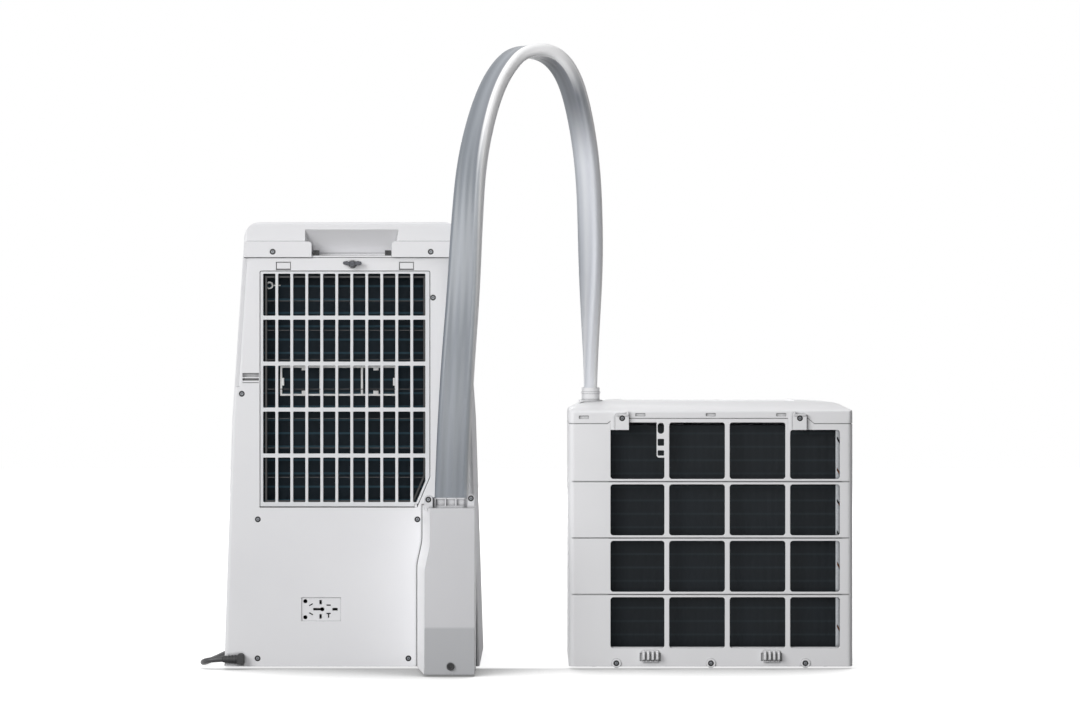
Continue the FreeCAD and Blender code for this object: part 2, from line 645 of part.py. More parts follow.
def base_pan():
    body = indoor_body(wall + seat_gap, skirt_height - 30)
    body = body.common(box((-far, far), (-far, far), (pan_floor[0], pan_rim)))
    hollow = indoor_body(2 * wall + seat_gap, skirt_height - 30)
    hollow = hollow.common(box((-far, far), (-far, far), (pan_floor[1], far)))
    adds = []
    cuts = panel_boss_room()
    for name in castor_places:
        centre = castor_centre(name)
        adds.append(rod("z", centre, castor_well_radius + wall, (pan_floor[0], castor_roof + wall)))
        adds.append(rod("z", centre, castor_stem_radius + 4, (castor_roof, castor_boss_top)))
        cuts.append(rod("z", centre, castor_well_radius, (0, castor_roof)))
        cuts.append(rod("z", centre, castor_stem_radius + running_clearance, (castor_roof - 1, castor_boss_top + 1)))
    return carve(fuse([body.cut(hollow)] + adds), cuts)


def castor_fork(name):
    """Swivel fork: stem, thrust shoulder, crown and two cheeks joined by the wheel's axle."""
    x, y = castor_centre(name)
    axle = (y + castor_trail, castor_wheel_radius)
    crown_bottom = 2 * castor_wheel_radius + 2.5
    cheek_inner = castor_wheel_width / 2 + 0.5
    cheek_outer = cheek_inner + 3
    stem = rod("z", (x, y), castor_stem_radius, (crown_bottom, castor_boss_top - 1))
    shoulder = rod("z", (x, y), castor_stem_radius + 4, (crown_bottom, castor_roof))
    crown = prism([(x - cheek_outer, y - 12, 6), (x + cheek_outer, y - 12, 6), (x + cheek_outer, axle[0] + 7, 3),
                   (x - cheek_outer, axle[0] + 7, 3)], "xy", (crown_bottom, crown_bottom + 4))
    cheeks = []
    for side in (-1, 1):
        low, high = sorted((x + side * cheek_inner, x + side * cheek_outer))
        cheeks.append(prism([(y - 10, crown_bottom + 1), (axle[0] - 6, axle[1] - 6, 5), (axle[0] + 6, axle[1] - 6, 5),
                             (axle[0] + 7, crown_bottom + 1)], "yz", (low, high)))
    pin = rod("x", axle, castor_axle_radius, (x - cheek_outer, x + cheek_outer))
    return fuse([stem, shoulder, crown, pin] + cheeks)


def castor_wheel(name):
    x, y = castor_centre(name)
    half = castor_wheel_width / 2
    radius = castor_wheel_radius
    points = [(castor_axle_radius + running_clearance, -half), (radius - 2, -half), (radius, -half + 2),
              (radius, half - 2), (radius - 2, half), (castor_axle_radius + running_clearance, half)]
    wire = Part.makePolygon([Vector(b, 0, a) for a, b in points] + [Vector(points[0][1], 0, points[0][0])])
    wheel = Part.Face(wire).revolve(Vector(0, 0, 0), Vector(1, 0, 0), 360)
    wheel.translate(Vector(x, y + castor_trail, radius))
    return wheel


# ---------------------------------------------------------------- cooling parts inside the indoor unit
deck_z = (226.0, 229.0)
tray_height = 12.0
coil_front = rear_y + 24.0
coil_depth = 34.0
coil_x = (grille_left - 9.4, grille_right + 8.6)
coil_z = (240.0, cover_seam - 14.3)
tube_pitch = 42.0
tube_radius = 4.5


def condensate_deck():
    """Deck across the casing that carries coil and blower, with a drip tray around the coil's foot."""
    deck = indoor_body(wall + seat_gap, skirt_height).common(box((-far, far), (-far, far), deck_z))
    tray = (indoor_x + coil_x[0] - 6, indoor_x + coil_x[1] + 6)
    depth = (coil_front - 5, coil_front + coil_depth + 5)
    rim = box(tray, depth, (deck_z[0], deck_z[1] + tray_height))
    rim = rim.cut(box((tray[0] + 2, tray[1] - 2), (depth[0] + 2, depth[1] - 2), (deck_z[1], far)))
    ledges = [box((indoor_x + x, indoor_x + x + 8), (coil_front + 2, coil_front + coil_depth - 2), (deck_z[1], coil_z[0]))
              for x in (coil_x[0] + 10, -4.0, coil_x[1] - 18)]
    return carve(fuse([deck, rim] + ledges), panel_boss_room())


def tube_levels(low, high, pitch):
    count = int((high - low) / pitch)
    start = (low + high - (count - 1) * pitch) / 2
    return [start + index * pitch for index in range(count)]


def coil_fins(x, y, z, levels):
    """Finned block with a clearance-free bore for each copper tube."""
    block = box(x, y, z)
    middle = (y[0] + y[1]) / 2
    return carve(block, [rod("x", (middle, level), tube_radius, (x[0] - 1, x[1] + 1)) for level in levels])


def coil_tubes(x, y, levels):
    """Copper tubes through the fins, joined in pairs by bends outside the fins."""
    middle = (y[0] + y[1]) / 2
    shapes = [rod("x", (middle, level), tube_radius, (x[0] - 4, x[1] + 4)) for level in levels]
    for index in range(len(levels) - 1):
        end = x[1] + 4 if index % 2 == 0 else x[0] - 4
        side = 1 if index % 2 == 0 else -1
        low, high = levels[index], levels[index + 1]
        riser = box((end - 3, end + 3), (middle - 3, middle + 3), (low, high))
        riser.translate(Vector(side * 3, 0, 0))
        shapes.append(riser)
    return fuse(shapes)


coil_levels = tube_levels(coil_z[0] + 6, coil_z[1] - 6, tube_pitch)
support_x = (-113.7, 69.0)
support_z = (425.9, 472.7)


def evaporator_support():
    """Flat rectangular clip frame on the coil's air side, with two uprights and locating tabs."""
    span = (coil_front - 4, coil_front)
    x0, x1 = indoor_x + support_x[0], indoor_x + support_x[1]
    z0, z1 = support_z
    bar = 3.0
    frame = box((x0, x1), span, (z0, z1)).cut(box((x0 + bar, x1 - bar), (span[0] - 1, span[1] + 1), (z0 + bar, z1 - bar)))
    adds = [box((indoor_x + x, indoor_x + x + 3.4), span, (z0, z1)) for x in (-52.0, 12.7)]
    adds += [box((indoor_x + x - 4, indoor_x + x + 4), span, (z0 + bar - 1, z0 + 8)) for x in (-76.0, 36.3)]
    adds += [box((indoor_x + x - 4, indoor_x + x + 4), span, (z1 - 7, z1 - bar + 1)) for x in (-76.0, 36.3)]
    adds += [box((x0 + 1, x0 + 6), span, (z0 + 16, z0 + 28)), box((x1 - 6, x1 - 1), span, (z0 + 16, z0 + 28))]
    return fuse([frame] + adds)


def coil_sensor():
    """Ring clip of the coil's temperature sensor."""
    x, z = indoor_x + coil_x[0] + 21.5, coil_z[1] - 29.0
    ring = tube("y", (x, z), 6.0, 3.6, (coil_front - 6, coil_front))
    return ring.fuse(box((x + 4.5, x + 17), (coil_front - 3, coil_front), (z - 0.9, z + 0.9)))


blower_centre_z = 400.0
blower_radius = 98.0
blower_y = (coil_front + coil_depth + 14, coil_front + coil_depth + 94)
housing_y = (blower_y[0] - 8, blower_y[1] + 8)
housing_half = 122.0
housing_top = outlet_z[1] + 8


def blower_housing():
    """Scroll with a round inlet behind the coil and a duct that turns forward to the outlet."""
    scroll = [(indoor_x - housing_half, deck_z[1], 70), (indoor_x + housing_half, deck_z[1], 70),
              (indoor_x + housing_half, housing_top, 6), (indoor_x - housing_half, housing_top, 6)]
    outer = prism(scroll, "xz", housing_y)
    inner = prism(scroll, "xz", (housing_y[0] + 2, housing_y[1] - 2), 2.0)
    inlet = rod("y", (indoor_x, blower_centre_z), blower_radius - 8, (housing_y[0] - 1, housing_y[0] + 3))
    duct_y = (housing_y[1], outlet_back)
    duct = box((indoor_x - housing_half, indoor_x + housing_half), duct_y, (outlet_z[0] + 2, outlet_z[1] - 2))
    bore = box((indoor_x - housing_half + 2, indoor_x + housing_half - 2), (housing_y[1] - 3, duct_y[1] + 1),
               (outlet_z[0] + 4, outlet_z[1] - 4))
    shaft_hole = rod("y", (indoor_x, blower_centre_z), 12, (housing_y[1] - 3, housing_y[1] + 1))
    foot = box((indoor_x - housing_half + 20, indoor_x + housing_half - 20), housing_y, (deck_z[1], deck_z[1] + 2))
    return carve(fuse([outer, duct]), [inner, inlet, bore, shaft_hole]).fuse(foot).removeSplitter()


shaft_radius = 4.0
blade_count = 26


def blower_wheel():
    """Squirrel-cage wheel: back plate with hub, front ring and forward-leaning blades."""
    centre = (indoor_x, blower_centre_z)
    y0, y1 = blower_y
    ring = tube("y", centre, blower_radius, blower_radius - 14, (y0, y0 + 3))
    plate = rod("y", centre, blower_radius, (y1 - 3, y1))
    hub = rod("y", centre, 14, (y1 - 26, y1))
    blades = []
    for index in range(blade_count):
        blade = prism([(blower_radius - 13, -1), (blower_radius - 1, 5), (blower_radius - 1.6, 7), (blower_radius - 13.6, 1)],
                      "xz", (y0 + 2, y1 - 2))
        blade.rotate(Vector(0, 0, 0), Vector(0, 1, 0), index * 360 / blade_count)
        blade.translate(Vector(indoor_x, 0, blower_centre_z))
        blades.append(blade)
    bore = rod("y", centre, shaft_radius + running_clearance, (y1 - 27, y1 + 1))
    return fuse([ring, plate, hub] + blades).cut(bore)


def blower_motor():
    """Motor on the housing's front wall with its shaft through the wheel's hub."""
    centre = (indoor_x, blower_centre_z)
    can = rod("y", centre, 44, (housing_y[1], housing_y[1] + 46))
    flange = rod("y", centre, 52, (housing_y[1], housing_y[1] + 3))
    cap = rod("y", centre, 20, (housing_y[1] + 45, housing_y[1] + 54))
    shaft = rod("y", centre, shaft_radius, (blower_y[1] - 24, housing_y[1] + 2))
    return fuse([can, flange, cap, shaft])


compressor_x = 52.0
compressor_y = rear_y + 150.0
compressor_radius = 60.0
mount_height = 16.0


def compressor():
    """Hermetic compressor: domed can on a three-armed foot, with suction accumulator and discharge stub."""
    x = indoor_x + compressor_x
    floor = pan_floor[1] + mount_height
    can = rod("z", (x, compressor_y), compressor_radius, (floor + 4, floor + 140))
    dome = Part.makeCone(compressor_radius, compressor_radius - 22, 16, Vector(x, compressor_y, floor + 140))
    stub = rod("z", (x + 20, compressor_y), 5, (floor + 150, floor + 172))
    foot = rod("z", (x, compressor_y), compressor_radius + 20, (floor, floor + 4))
    accumulator = rod("z", (x - compressor_radius - 26, compressor_y), 22, (floor + 30, floor + 130))
    strap = box((x - compressor_radius - 12, x - compressor_radius + 6), (compressor_y - 6, compressor_y + 6),
                (floor + 70, floor + 90))
    return fuse([can, dome, stub, foot, accumulator, strap])


def compressor_mounts():
    """Three waisted rubber grommets between pan and compressor foot."""
    mounts = []
    for index in range(3):
        angle = math.radians(90 + 120 * index)
        x = indoor_x + compressor_x + (compressor_radius + 8) * math.cos(angle)
        y = compressor_y + (compressor_radius + 8) * math.sin(angle)
        low = rod("z", (x, y), 10, (pan_floor[1], pan_floor[1] + 6))
        waist = rod("z", (x, y), 7, (pan_floor[1] + 5, pan_floor[1] + mount_height - 4))
        high = rod("z", (x, y), 10, (pan_floor[1] + mount_height - 5, pan_floor[1] + mount_height))
        mounts.append(fuse([low, waist, high]))
    return group(mounts)


electronics_size = (84.0, 105.0, 159.5)
electronics_corner = (49.5 - foot_half, 100.0)   # left of the unit's centre, in front of its rear
electronics_lid = (2.0, 6.0)                     # overhang and height


def electronics_box():
    """Closed box for the inverter board, standing on the pan beside the compressor."""
    x, y, z = indoor_x + electronics_corner[0], rear_y + electronics_corner[1], pan_floor[1] + electronics_size[2]
    over, height = electronics_lid
    body = box((x, x + electronics_size[0]), (y, y + electronics_size[1]), (pan_floor[1], z))
    lid = box((x - over, x + electronics_size[0] + over), (y - over, y + electronics_size[1] + over),
              (z + over - height, z + over))
    return body.fuse(lid)


# ---------------------------------------------------------------- hose cover, collar and drain plug
duct_x = indoor_x + duct_centre
cover_low_left = 39.0             # front face, left of the duct centre, below the step
cover_high_left = 31.0            # and above it
cover_right = 37.0
cover_flare = 16.0                # how much further left its flank meets the panel
cover_step = (163.0, 200.0)       # heights between which the left edge swings over
collar_ears = ((-34.0, 6.5, 19.0), (31.0, 5.5, 20.0))      # offset, half width and rise of each screw ear
ear_depth = (22.0, 8.0)            # screw ears' front and back, measured back from the hose's centre


def cover_face(inset, flare, y, bottom):
    """Outline of the hose cover in one upright plane; the flare widens it to the left at the panel."""
    left_low = duct_x - cover_low_left - flare + inset
    left_high = duct_x - cover_high_left - flare + inset
    right = duct_x + cover_right - inset
    low, high = cover_step
    top = cover_top - inset
    return outline([(left_low, bottom + inset), (right, bottom + inset), (right, top), (left_high, top),
                    (left_high, high, 60), (left_low, low, 60)], "xz", y)


def cover_solid(inset, back):
    front_y = rear_y - cover_projection + inset
    body = Part.makeLoft([cover_face(inset, 0.0, front_y, skirt_height - 1),
                          cover_face(inset, cover_flare, back, skirt_height - 1)], True, True)
    lean = prism([(rear_y - cover_projection - 1, cover_undercut_height),
                  (rear_y - cover_projection + inset, cover_undercut_height),
                  (rear_y - cover_projection + cover_undercut + inset, 0), (rear_y - cover_projection - 1, 0)],
                 "yz", (duct_x - 200, duct_x + 200))
    return body.cut(lean)


hose_y = rear_y - 60.0            # hose centre at the collar
collar_rise = 14.8
collar_half = (hose_width / 2 + 2.4, hose_thickness / 2 + 2.4)     # outside of the collar
drain_x = duct_x + 0.5
drain_z = 16.0
drain_radius = 4.5


def oval(width, thickness, centre, span):
    """Upright bar round (x, y) whose section runs parallel to the hose's."""
    x, y = centre
    corner = min(width, thickness) / 2 - hose_thickness / 2 + hose_corner
    return prism(rectangle((x - width / 2, x + width / 2), (y - thickness / 2, y + thickness / 2), corner), "xy", span)


def hose_cover():
    body = cover_solid(0.0, rear_y)
    shell = body.cut(cover_solid(wall, rear_y + 1))
    ears = []
    cuts = [oval(hose_width + 4, hose_thickness + 4, (duct_x, hose_y), (cover_top - 10, cover_top + 1)),
            rod("y", (drain_x, drain_z), drain_radius + running_clearance, (rear_y - cover_projection - 1, rear_y - 80))]
    drain_boss = tube("y", (drain_x, drain_z), 9, drain_radius + running_clearance,
                      (rear_y - cover_projection + cover_undercut, rear_y - cover_projection + 18))
    front, back = hose_y - ear_depth[0], hose_y - ear_depth[1]
    for offset, half, rise in collar_ears:
        x = duct_x + offset
        ears.append(prism([(x - half, cover_top - wall), (x + half, cover_top - wall), (x + half, cover_top + rise, half - 0.1),
                           (x - half, cover_top + rise, half - 0.1)], "xz", (front, back)))
        screw_z = cover_top + rise - half
        cuts.append(rod("y", (x, screw_z), screw_hole_radius, (front - 1, back + 1)))
        cuts.append(rod("y", (x, screw_z), screw_recess_radius, (front - 1, front + screw_recess_depth)))
    return carve(fuse([shell, drain_boss.common(body)] + ears), cuts)


def hose_collar():
    """Ribbed socket that grips the hose on top of its cover."""
    centre = (duct_x, hose_y)
    base = oval(2 * collar_half[0] + 4, 2 * collar_half[1] + 8, centre, (cover_top, cover_top + 3))
    ring = oval(2 * collar_half[0], 2 * collar_half[1], centre, (cover_top, cover_top + collar_rise))
    lip = oval(2 * collar_half[0] + 3, 2 * collar_half[1] + 3, centre,
               (cover_top + collar_rise - 2.4, cover_top + collar_rise))
    ribs = [box((duct_x + x - 1, duct_x + x + 1), (hose_y - collar_half[1] - 4, hose_y),
                (cover_top, cover_top + collar_rise - 1)) for x in (-24, -8, 8, 24)]
    hole = oval(hose_width, hose_thickness, centre, (cover_top - 1, cover_top + collar_rise + 1))
    trim = box((duct_x - 27.5, duct_x + 27.5), (hose_y - 40, hose_y), (0, far))
    sides = [box((duct_x + offset - half - 1, duct_x + offset + half + 1), (hose_y - ear_depth[0] - 1, hose_y - ear_depth[1] + 1),
                 (0, far)) for offset, half, rise in collar_ears]
    return carve(fuse([base, ring, lip] + [rib.common(trim) for rib in ribs]), [hole] + sides)


def drain_plug():
    """Push-in plug of the condensate drain, with a recessed head and a finger rim."""
    front = rear_y - cover_projection + cover_undercut * 0.6
    head = rod("y", (drain_x, drain_z), 5.8, (front - 1.6, front))
    stem = rod("y", (drain_x, drain_z), drain_radius, (front - 0.5, front + 14))
    return head.fuse(stem).cut(rod("y", (drain_x, drain_z), 3.6, (front - 2, front + 1)))


# ---------------------------------------------------------------- hose between the units
socket_x = outdoor_x - 186.0
socket_y = rear_y + 90.0
socket_base = outdoor_crown - 4.0
socket_top = socket_base + 22.0
socket_wall = 4.0
# Route of the hose's centre line, chosen along its real arch; Y runs from the collar to the socket.
hose_route = [(duct_x, hose_y, cover_top - 3), (-131, -157, 350), (-125, -150, 464), (-116, -136, 587), (-111, -120, 699),
              (-104, -105, 794), (-84, -90, 881), (-60, -80, 936), (-30, -73, 967), (15, -65, 967),
              (46, -58, 936), (65, -48, 874), (79, -35, 783), (83, -22, 673), (83, -12, 549),
              (socket_x, socket_y, socket_base)]
hose_turns = (-56.0, -34.0)       # twist of the flat hose over the arch, and again down to the socket
hose_turn_ends = (0.66, 0.72)     # where the first ends and the second starts, as shares of its length


def bent_path(points):
    """Straight runs joined by tangent arcs, each as large as its two runs allow. Prints each radius."""
    path = [Vector(*p) for p in points]
    edges = []
    start = path[0]
    radii = []
    for index in range(1, len(path) - 1):
        back = path[index - 1] - path[index]
        ahead = path[index + 1] - path[index]
        reach = 0.45 * min(back.Length, ahead.Length)
        back.normalize()
        ahead.normalize()
        half_turn = (math.pi - back.getAngle(ahead)) / 2
        radius = reach / math.tan(half_turn)
        radii.append(round(radius, 1))
        into = path[index] + back * reach
        out = path[index] + ahead * reach
        bisector = (back + ahead).normalize()
        middle = path[index] + bisector * (radius / math.cos(half_turn) - radius)
        edges.append(Part.LineSegment(start, into).toShape())
        edges.append(Part.Arc(into, middle, out).toShape())
        start = out
    edges.append(Part.LineSegment(start, path[-1]).toShape())
    print("bend radii", radii)
    return edges


def hose():
    """Flat hose as a ruled loft of twisted, round-cornered sections along straight runs and tangent arcs."""
    edges = bent_path(hose_route)
    total = sum(edge.Length for edge in edges)
    wires = []
    travelled = 0.0
    for edge in edges:
        steps = 1 if isinstance(edge.Curve, Part.Line) else (3 if edge.Curve.Radius < 150 else 1)
        for step in range(steps):
            at = edge.FirstParameter + (edge.LastParameter - edge.FirstParameter) * step / steps
            wires.append(hose_section(edge.valueAt(at), edge.tangentAt(at), travelled + edge.Length * step / steps, total))
        travelled += edge.Length
    wires.append(hose_section(edges[-1].valueAt(edges[-1].LastParameter), edges[-1].tangentAt(edges[-1].LastParameter),
                              total, total))
    solid = Part.makeLoft(wires, True, True)
    area = hose_width * hose_thickness - (4 - math.pi) * hose_corner ** 2
    print("hose length", round(total), "volume ratio", round(solid.Volume / (area * total), 3))
    return solid


def eased(share):
    share = min(max(share, 0.0), 1.0)
    return share * share * (3 - 2 * share)


def hose_section(point, tangent, along, total):
    """One section square to the path; its broad side turns from the rear to the side on the way."""
    share = along / total
    first = hose_turns[0] * eased(share / hose_turn_ends[0])
    angle = math.radians(first + hose_turns[1] * eased((share - hose_turn_ends[1]) / (1 - hose_turn_ends[1])))
    broad = Vector(math.cos(angle), math.sin(angle), 0)
    broad = (broad - tangent * broad.dot(tangent)).normalize()
    thin = tangent.cross(broad)
    flat_broad = hose_width / 2 - hose_corner
    flat_thin = hose_thickness / 2 - hose_corner
    edges = []
    ends = []
    for sx, sy in ((1, -1), (1, 1), (-1, 1), (-1, -1)):
        centre = point + broad * (sx * flat_broad) + thin * (sy * flat_thin)
        over, up = broad * (sx * hose_corner), thin * (sy * hose_corner)
        first, last = (up, over) if sx * sy < 0 else (over, up)
        ends.append((centre + first, centre + (over + up) * math.sqrt(0.5), centre + last))
    for index, (start, middle, stop) in enumerate(ends):
        edges.append(Part.Arc(start, middle, stop).toShape())
        edges.append(Part.LineSegment(stop, ends[(index + 1) % 4][0]).toShape())
    return Part.Wire(edges)


# ---------------------------------------------------------------- mains lead
relief_length = 23.0
relief_end = indoor_x + notch_x[0] - relief_length
lead_y = rear_y - 6.5
coil_turn_radius = 46.0
coil_half_width = 10.0
lead_coil_height = 26.0
lead_coil_x = indoor_x - 120.0
lead_coil_y = indoor_front + 82.0
# Route of the lead from its relief round the casing's side to the coil in front of the unit.
lead_route = [(relief_end, lead_y, gland_z), (relief_end - 14, lead_y + 0.5, 15.4), (relief_end - 26, rear_y + 1, 13),
              (relief_end - 33, rear_y + 14, 9.5), (relief_end - 35, rear_y + 34, 6), (relief_end - 32, rear_y + 62, 4.6),
              (relief_end - 25, rear_y + 110, 4.5), (relief_end - 17, indoor_front - 124, 4.4),
              (relief_end - 11, indoor_front - 62, 4.6), (relief_end - 2, indoor_front - 6, 4.8),
              (relief_end + 26, indoor_front + 27, 5.2), (lead_coil_x - 14, lead_coil_y - coil_turn_radius, 6)]


def mains_gland():
    """Block that fills the panel's notch, with a tapered ribbed relief along the lead."""
    x0, x1 = indoor_x + notch_x[0], indoor_x + notch_x[1]
    block = prism([(x0, notch_z[0]), (x1, notch_z[0]), (x1, notch_z[1], 4), (x0, notch_z[1], 4)], "xz",
                  (rear_y - 12, rear_y + 5), seat_gap)
    flange = box((x0 - 2, x1 + 2), (rear_y + wall, rear_y + wall + 2), (notch_z[0] + 3, notch_z[1] + 3))
    relief = Part.makeCone(6.2, cord_diameter / 2 + 0.7, x0 - relief_end, Vector(x0 + 0.5, lead_y, gland_z), Vector(-1, 0, 0))
    ribs = [rod("x", (lead_y, gland_z), 6.6 - 0.35 * index, (x0 - 4 - 5 * index, x0 - 2 - 5 * index)) for index in range(4)]
    return fuse([block, flange, relief] + ribs)


def mains_lead():
    edges = bent_path(lead_route)
    path = Part.Wire(edges)
    start = edges[0]
    circle = Part.makeCircle(cord_diameter / 2, start.valueAt(start.FirstParameter), start.tangentAt(start.FirstParameter))
    solid = path.makePipeShell([Part.Wire([circle])], True, True)
    print("lead length", round(path.Length), "volume ratio",
          round(solid.Volume / (math.pi * cord_diameter ** 2 / 4 * path.Length), 3))
    return solid


def lead_ring(grow):
    profile = rectangle((coil_turn_radius - coil_half_width - grow, coil_turn_radius + coil_half_width + grow),
                        (-grow, lead_coil_height + grow), 5 + grow)
    ring = Part.Face(outline(profile, "xz", 0)).revolve(Vector(0, 0, 0), Vector(0, 0, 1), 360)
    ring.translate(Vector(lead_coil_x, lead_coil_y, 0))
    return ring


tie_half = 6.0
tie_thickness = 1.2


def cord_tie():
    """Strap round the coil's bundle, closed over the bundle's top and sides."""
    x = lead_coil_x + coil_turn_radius
    strap = box((x - coil_half_width - 3, x + coil_half_width + 3), (lead_coil_y - tie_half, lead_coil_y + tie_half),
                (1.0, lead_coil_height + tie_thickness))
    return strap.cut(lead_ring(0.0))


plug_radius = 19.0
plug_sleeve = (5.5, 9.0, 26.0)    # end radius, foot radius and length of its bend protector
plug_shoulder = 8.0
plug_body = 30.0
plug_pin = (2.4, 19.0)            # radius and length
plug_pin_spacing = 19.0


def mains_plug():
    """Round two-pin plug lying beside the coil, with the cord's last bend between coil and bend protector."""
    y = lead_coil_y + coil_turn_radius + coil_half_width + plug_radius + seat_gap
    bend = y - lead_coil_y - coil_turn_radius + 2
    middle = Vector(lead_coil_x, y - bend, plug_radius)
    start = middle + Vector(0, bend, 0)
    over = middle + Vector(bend * math.sqrt(0.5), bend * math.sqrt(0.5), 0)
    path = Part.Wire([Part.Arc(start, over, middle + Vector(bend, 0, 0)).toShape()])
    circle = Part.makeCircle(cord_diameter / 2, start, Vector(1, 0, 0))
    cord = path.makePipeShell([Part.Wire([circle])], True, True)
    back = lead_coil_x - plug_sleeve[2]
    face = back - plug_shoulder - plug_body
    sleeve = Part.makeCone(plug_sleeve[0], plug_sleeve[1], plug_sleeve[2], Vector(lead_coil_x, y, plug_radius), Vector(-1, 0, 0))
    shoulder = Part.makeCone(plug_sleeve[1] + 2, plug_radius, plug_shoulder, Vector(back, y, plug_radius), Vector(-1, 0, 0))
    body = rod("x", (y, plug_radius), plug_radius, (face, back - plug_shoulder))
    pins = [rod("x", (y + side * plug_pin_spacing / 2, plug_radius), plug_pin[0], (face - plug_pin[1], face))
            for side in (-1, 1)]
    return fuse([sleeve, shoulder, body, cord] + pins)


# ---------------------------------------------------------------- outdoor casing
shoulder_in = 22.0                # how far in from each edge the top's shoulder ends
shoulder_rise = 12.0
outdoor_rear_fall = 62.0          # depth over which the top falls to the rear
front_profile = [(outdoor_x - outdoor_half, -100), (outdoor_x - outdoor_half, outdoor_shoulder, 6),
                 (outdoor_x - outdoor_half + shoulder_in, outdoor_shoulder + shoulder_rise, 30),
                 (outdoor_x - outdoor_half / 2, outdoor_crown, 60), (outdoor_x + outdoor_half / 2, outdoor_crown, 60),
                 (outdoor_x + outdoor_half - shoulder_in, outdoor_shoulder + shoulder_rise, 30),
                 (outdoor_x + outdoor_half, outdoor_shoulder, 6), (outdoor_x + outdoor_half, -100)]
depth_profile = [(rear_y, -100), (rear_y, outdoor_shoulder, 5), (rear_y + outdoor_rear_fall, outdoor_crown, 60),
                 (outdoor_front - 50, outdoor_crown, 40), (outdoor_front, outdoor_shoulder - 12, 20), (outdoor_front, -100)]


def outdoor_body(inset):
    plan = prism(rectangle((outdoor_x - outdoor_half, outdoor_x + outdoor_half), (rear_y, outdoor_front), 9), "xy",
                 (skirt_height - (30 if inset else 0), outdoor_crown + 80), inset)
    return plan.common(prism(front_profile, "xz", (-far, far), inset)).common(prism(depth_profile, "yz", (-far, far), inset))


outdoor_shell = outdoor_body(0.0).cut(outdoor_body(wall))
bracket_x = 138.5                 # hanging brackets, each side of the centre
bracket_half = 10.5
bracket_z = (outdoor_seam - 10.2, outdoor_seam + 14.0)
bracket_projection = 5.0
bracket_lip = (2.0, 2.2)          # thickness and extra projection of its upper lip
bracket_screw_z = outdoor_seam + 8.0
seam_slant = (151.5, 161.5)


def above_seam(drop=0.0):
    """Everything above the joint between top cover and walls; the joint steps up between the brackets."""
    low, high = outdoor_seam - drop, outdoor_seam + outdoor_seam_rise - drop
    near, wide = seam_slant
    return prism([(outdoor_x - far / 2, low), (outdoor_x - wide, low), (outdoor_x - near, high), (outdoor_x + near, high),
                  (outdoor_x + wide, low), (outdoor_x + far / 2, low), (outdoor_x + far / 2, far / 2),
                  (outdoor_x - far / 2, far / 2)], "xz", (-far, far))


def seam_groove():
    """Shadow groove along the walls' upper edge, all round below the top cover."""
    skin = outdoor_body(0.0).cut(outdoor_body(reveal[1]))
    return skin.common(above_seam(reveal[0])).cut(above_seam())


rear_windows = 4
rear_window_left = 65.1 - outdoor_half
rear_window_right = outdoor_half - 20.3
rear_window_bar = (7.4, 8.4)      # bars between the windows: upright, level
end_widths = (84.2, 77.7)         # widths of the first and the last column
rear_window_bottom = 32.3
rear_window_pitch = (outdoor_seam + 1.2 - rear_window_bottom) / rear_windows
middle_width = (rear_window_right - rear_window_left - (rear_windows - 1) * rear_window_bar[0] - sum(end_widths)) / 2
rear_window_widths = (end_widths[0], middle_width, middle_width, end_widths[1])
rear_window_radius = 4.7
rear_rib_depth = 6.0              # stiffening ribs behind the bars
groove_width = 2.0
groove_depth = 3.2
foot_screws = (-147.5, 0.0, 147.5)
foot_screw_z = 9.0
spacer_x = 94.6
spacer_half = 12.4
spacer_z = (10.3, 29.2)
spacer_slot = 4.0                 # finger room in the cover beside each buffer
cable_strip_x = (-84.6, -71.3)
cable_strip_bottom = outdoor_seam - 53.6
cable_eyes = ((-16.2, 0.8, 4.9), (-35.0, -24.2, 1.5), (-50.4, -42.2, 1.5))     # foot, top and corner radius from the seam


def rear_window(column, row):
    x = outdoor_x + rear_window_left + sum(rear_window_widths[:column]) + column * rear_window_bar[0]
    z = rear_window_bottom + row * rear_window_pitch
    top = z + rear_window_pitch - rear_window_bar[1]
    if row == rear_windows - 1:
        top = bracket_z[0] if column == rear_windows - 1 else outdoor_seam + 1.3
    return prism(rectangle((x, x + rear_window_widths[column]), (z, top), rear_window_radius), "xz",
                 (rear_y - 1, rear_y + rear_rib_depth + 1))


def rear_ribs():
    """Ribs that stiffen the level bars from behind."""
    left, right = outdoor_x + rear_window_left - 3, outdoor_x + rear_window_right + 3
    ribs = []
    for row in range(1, rear_windows):
        z = rear_window_bottom + row * rear_window_pitch - rear_window_bar[1]
        ribs.append(box((left, right), (rear_y + 1, rear_y + rear_rib_depth), (z + 0.4, z + rear_window_bar[1] - 0.4)))
    return ribs


def cable_strip():
    """Three-eyed strip beside the first upright bar, for tying the hose's cable."""
    x0, x1 = outdoor_x + cable_strip_x[0], outdoor_x + cable_strip_x[1] + 1
    strip = prism([(x0, cable_strip_bottom, 4), (x1, cable_strip_bottom), (x1, outdoor_seam + 3), (x0, outdoor_seam + 3)],
                  "xz", (rear_y, rear_y + wall))
    middle = (cable_strip_x[0] + cable_strip_x[1]) / 2 + outdoor_x
    eyes = [prism(rectangle((middle - 5, middle + 5), (outdoor_seam + foot, outdoor_seam + top), radius), "xz",
                  (rear_y - 1, rear_y + wall + 1)) for foot, top, radius in cable_eyes]
    return carve(strip, eyes)


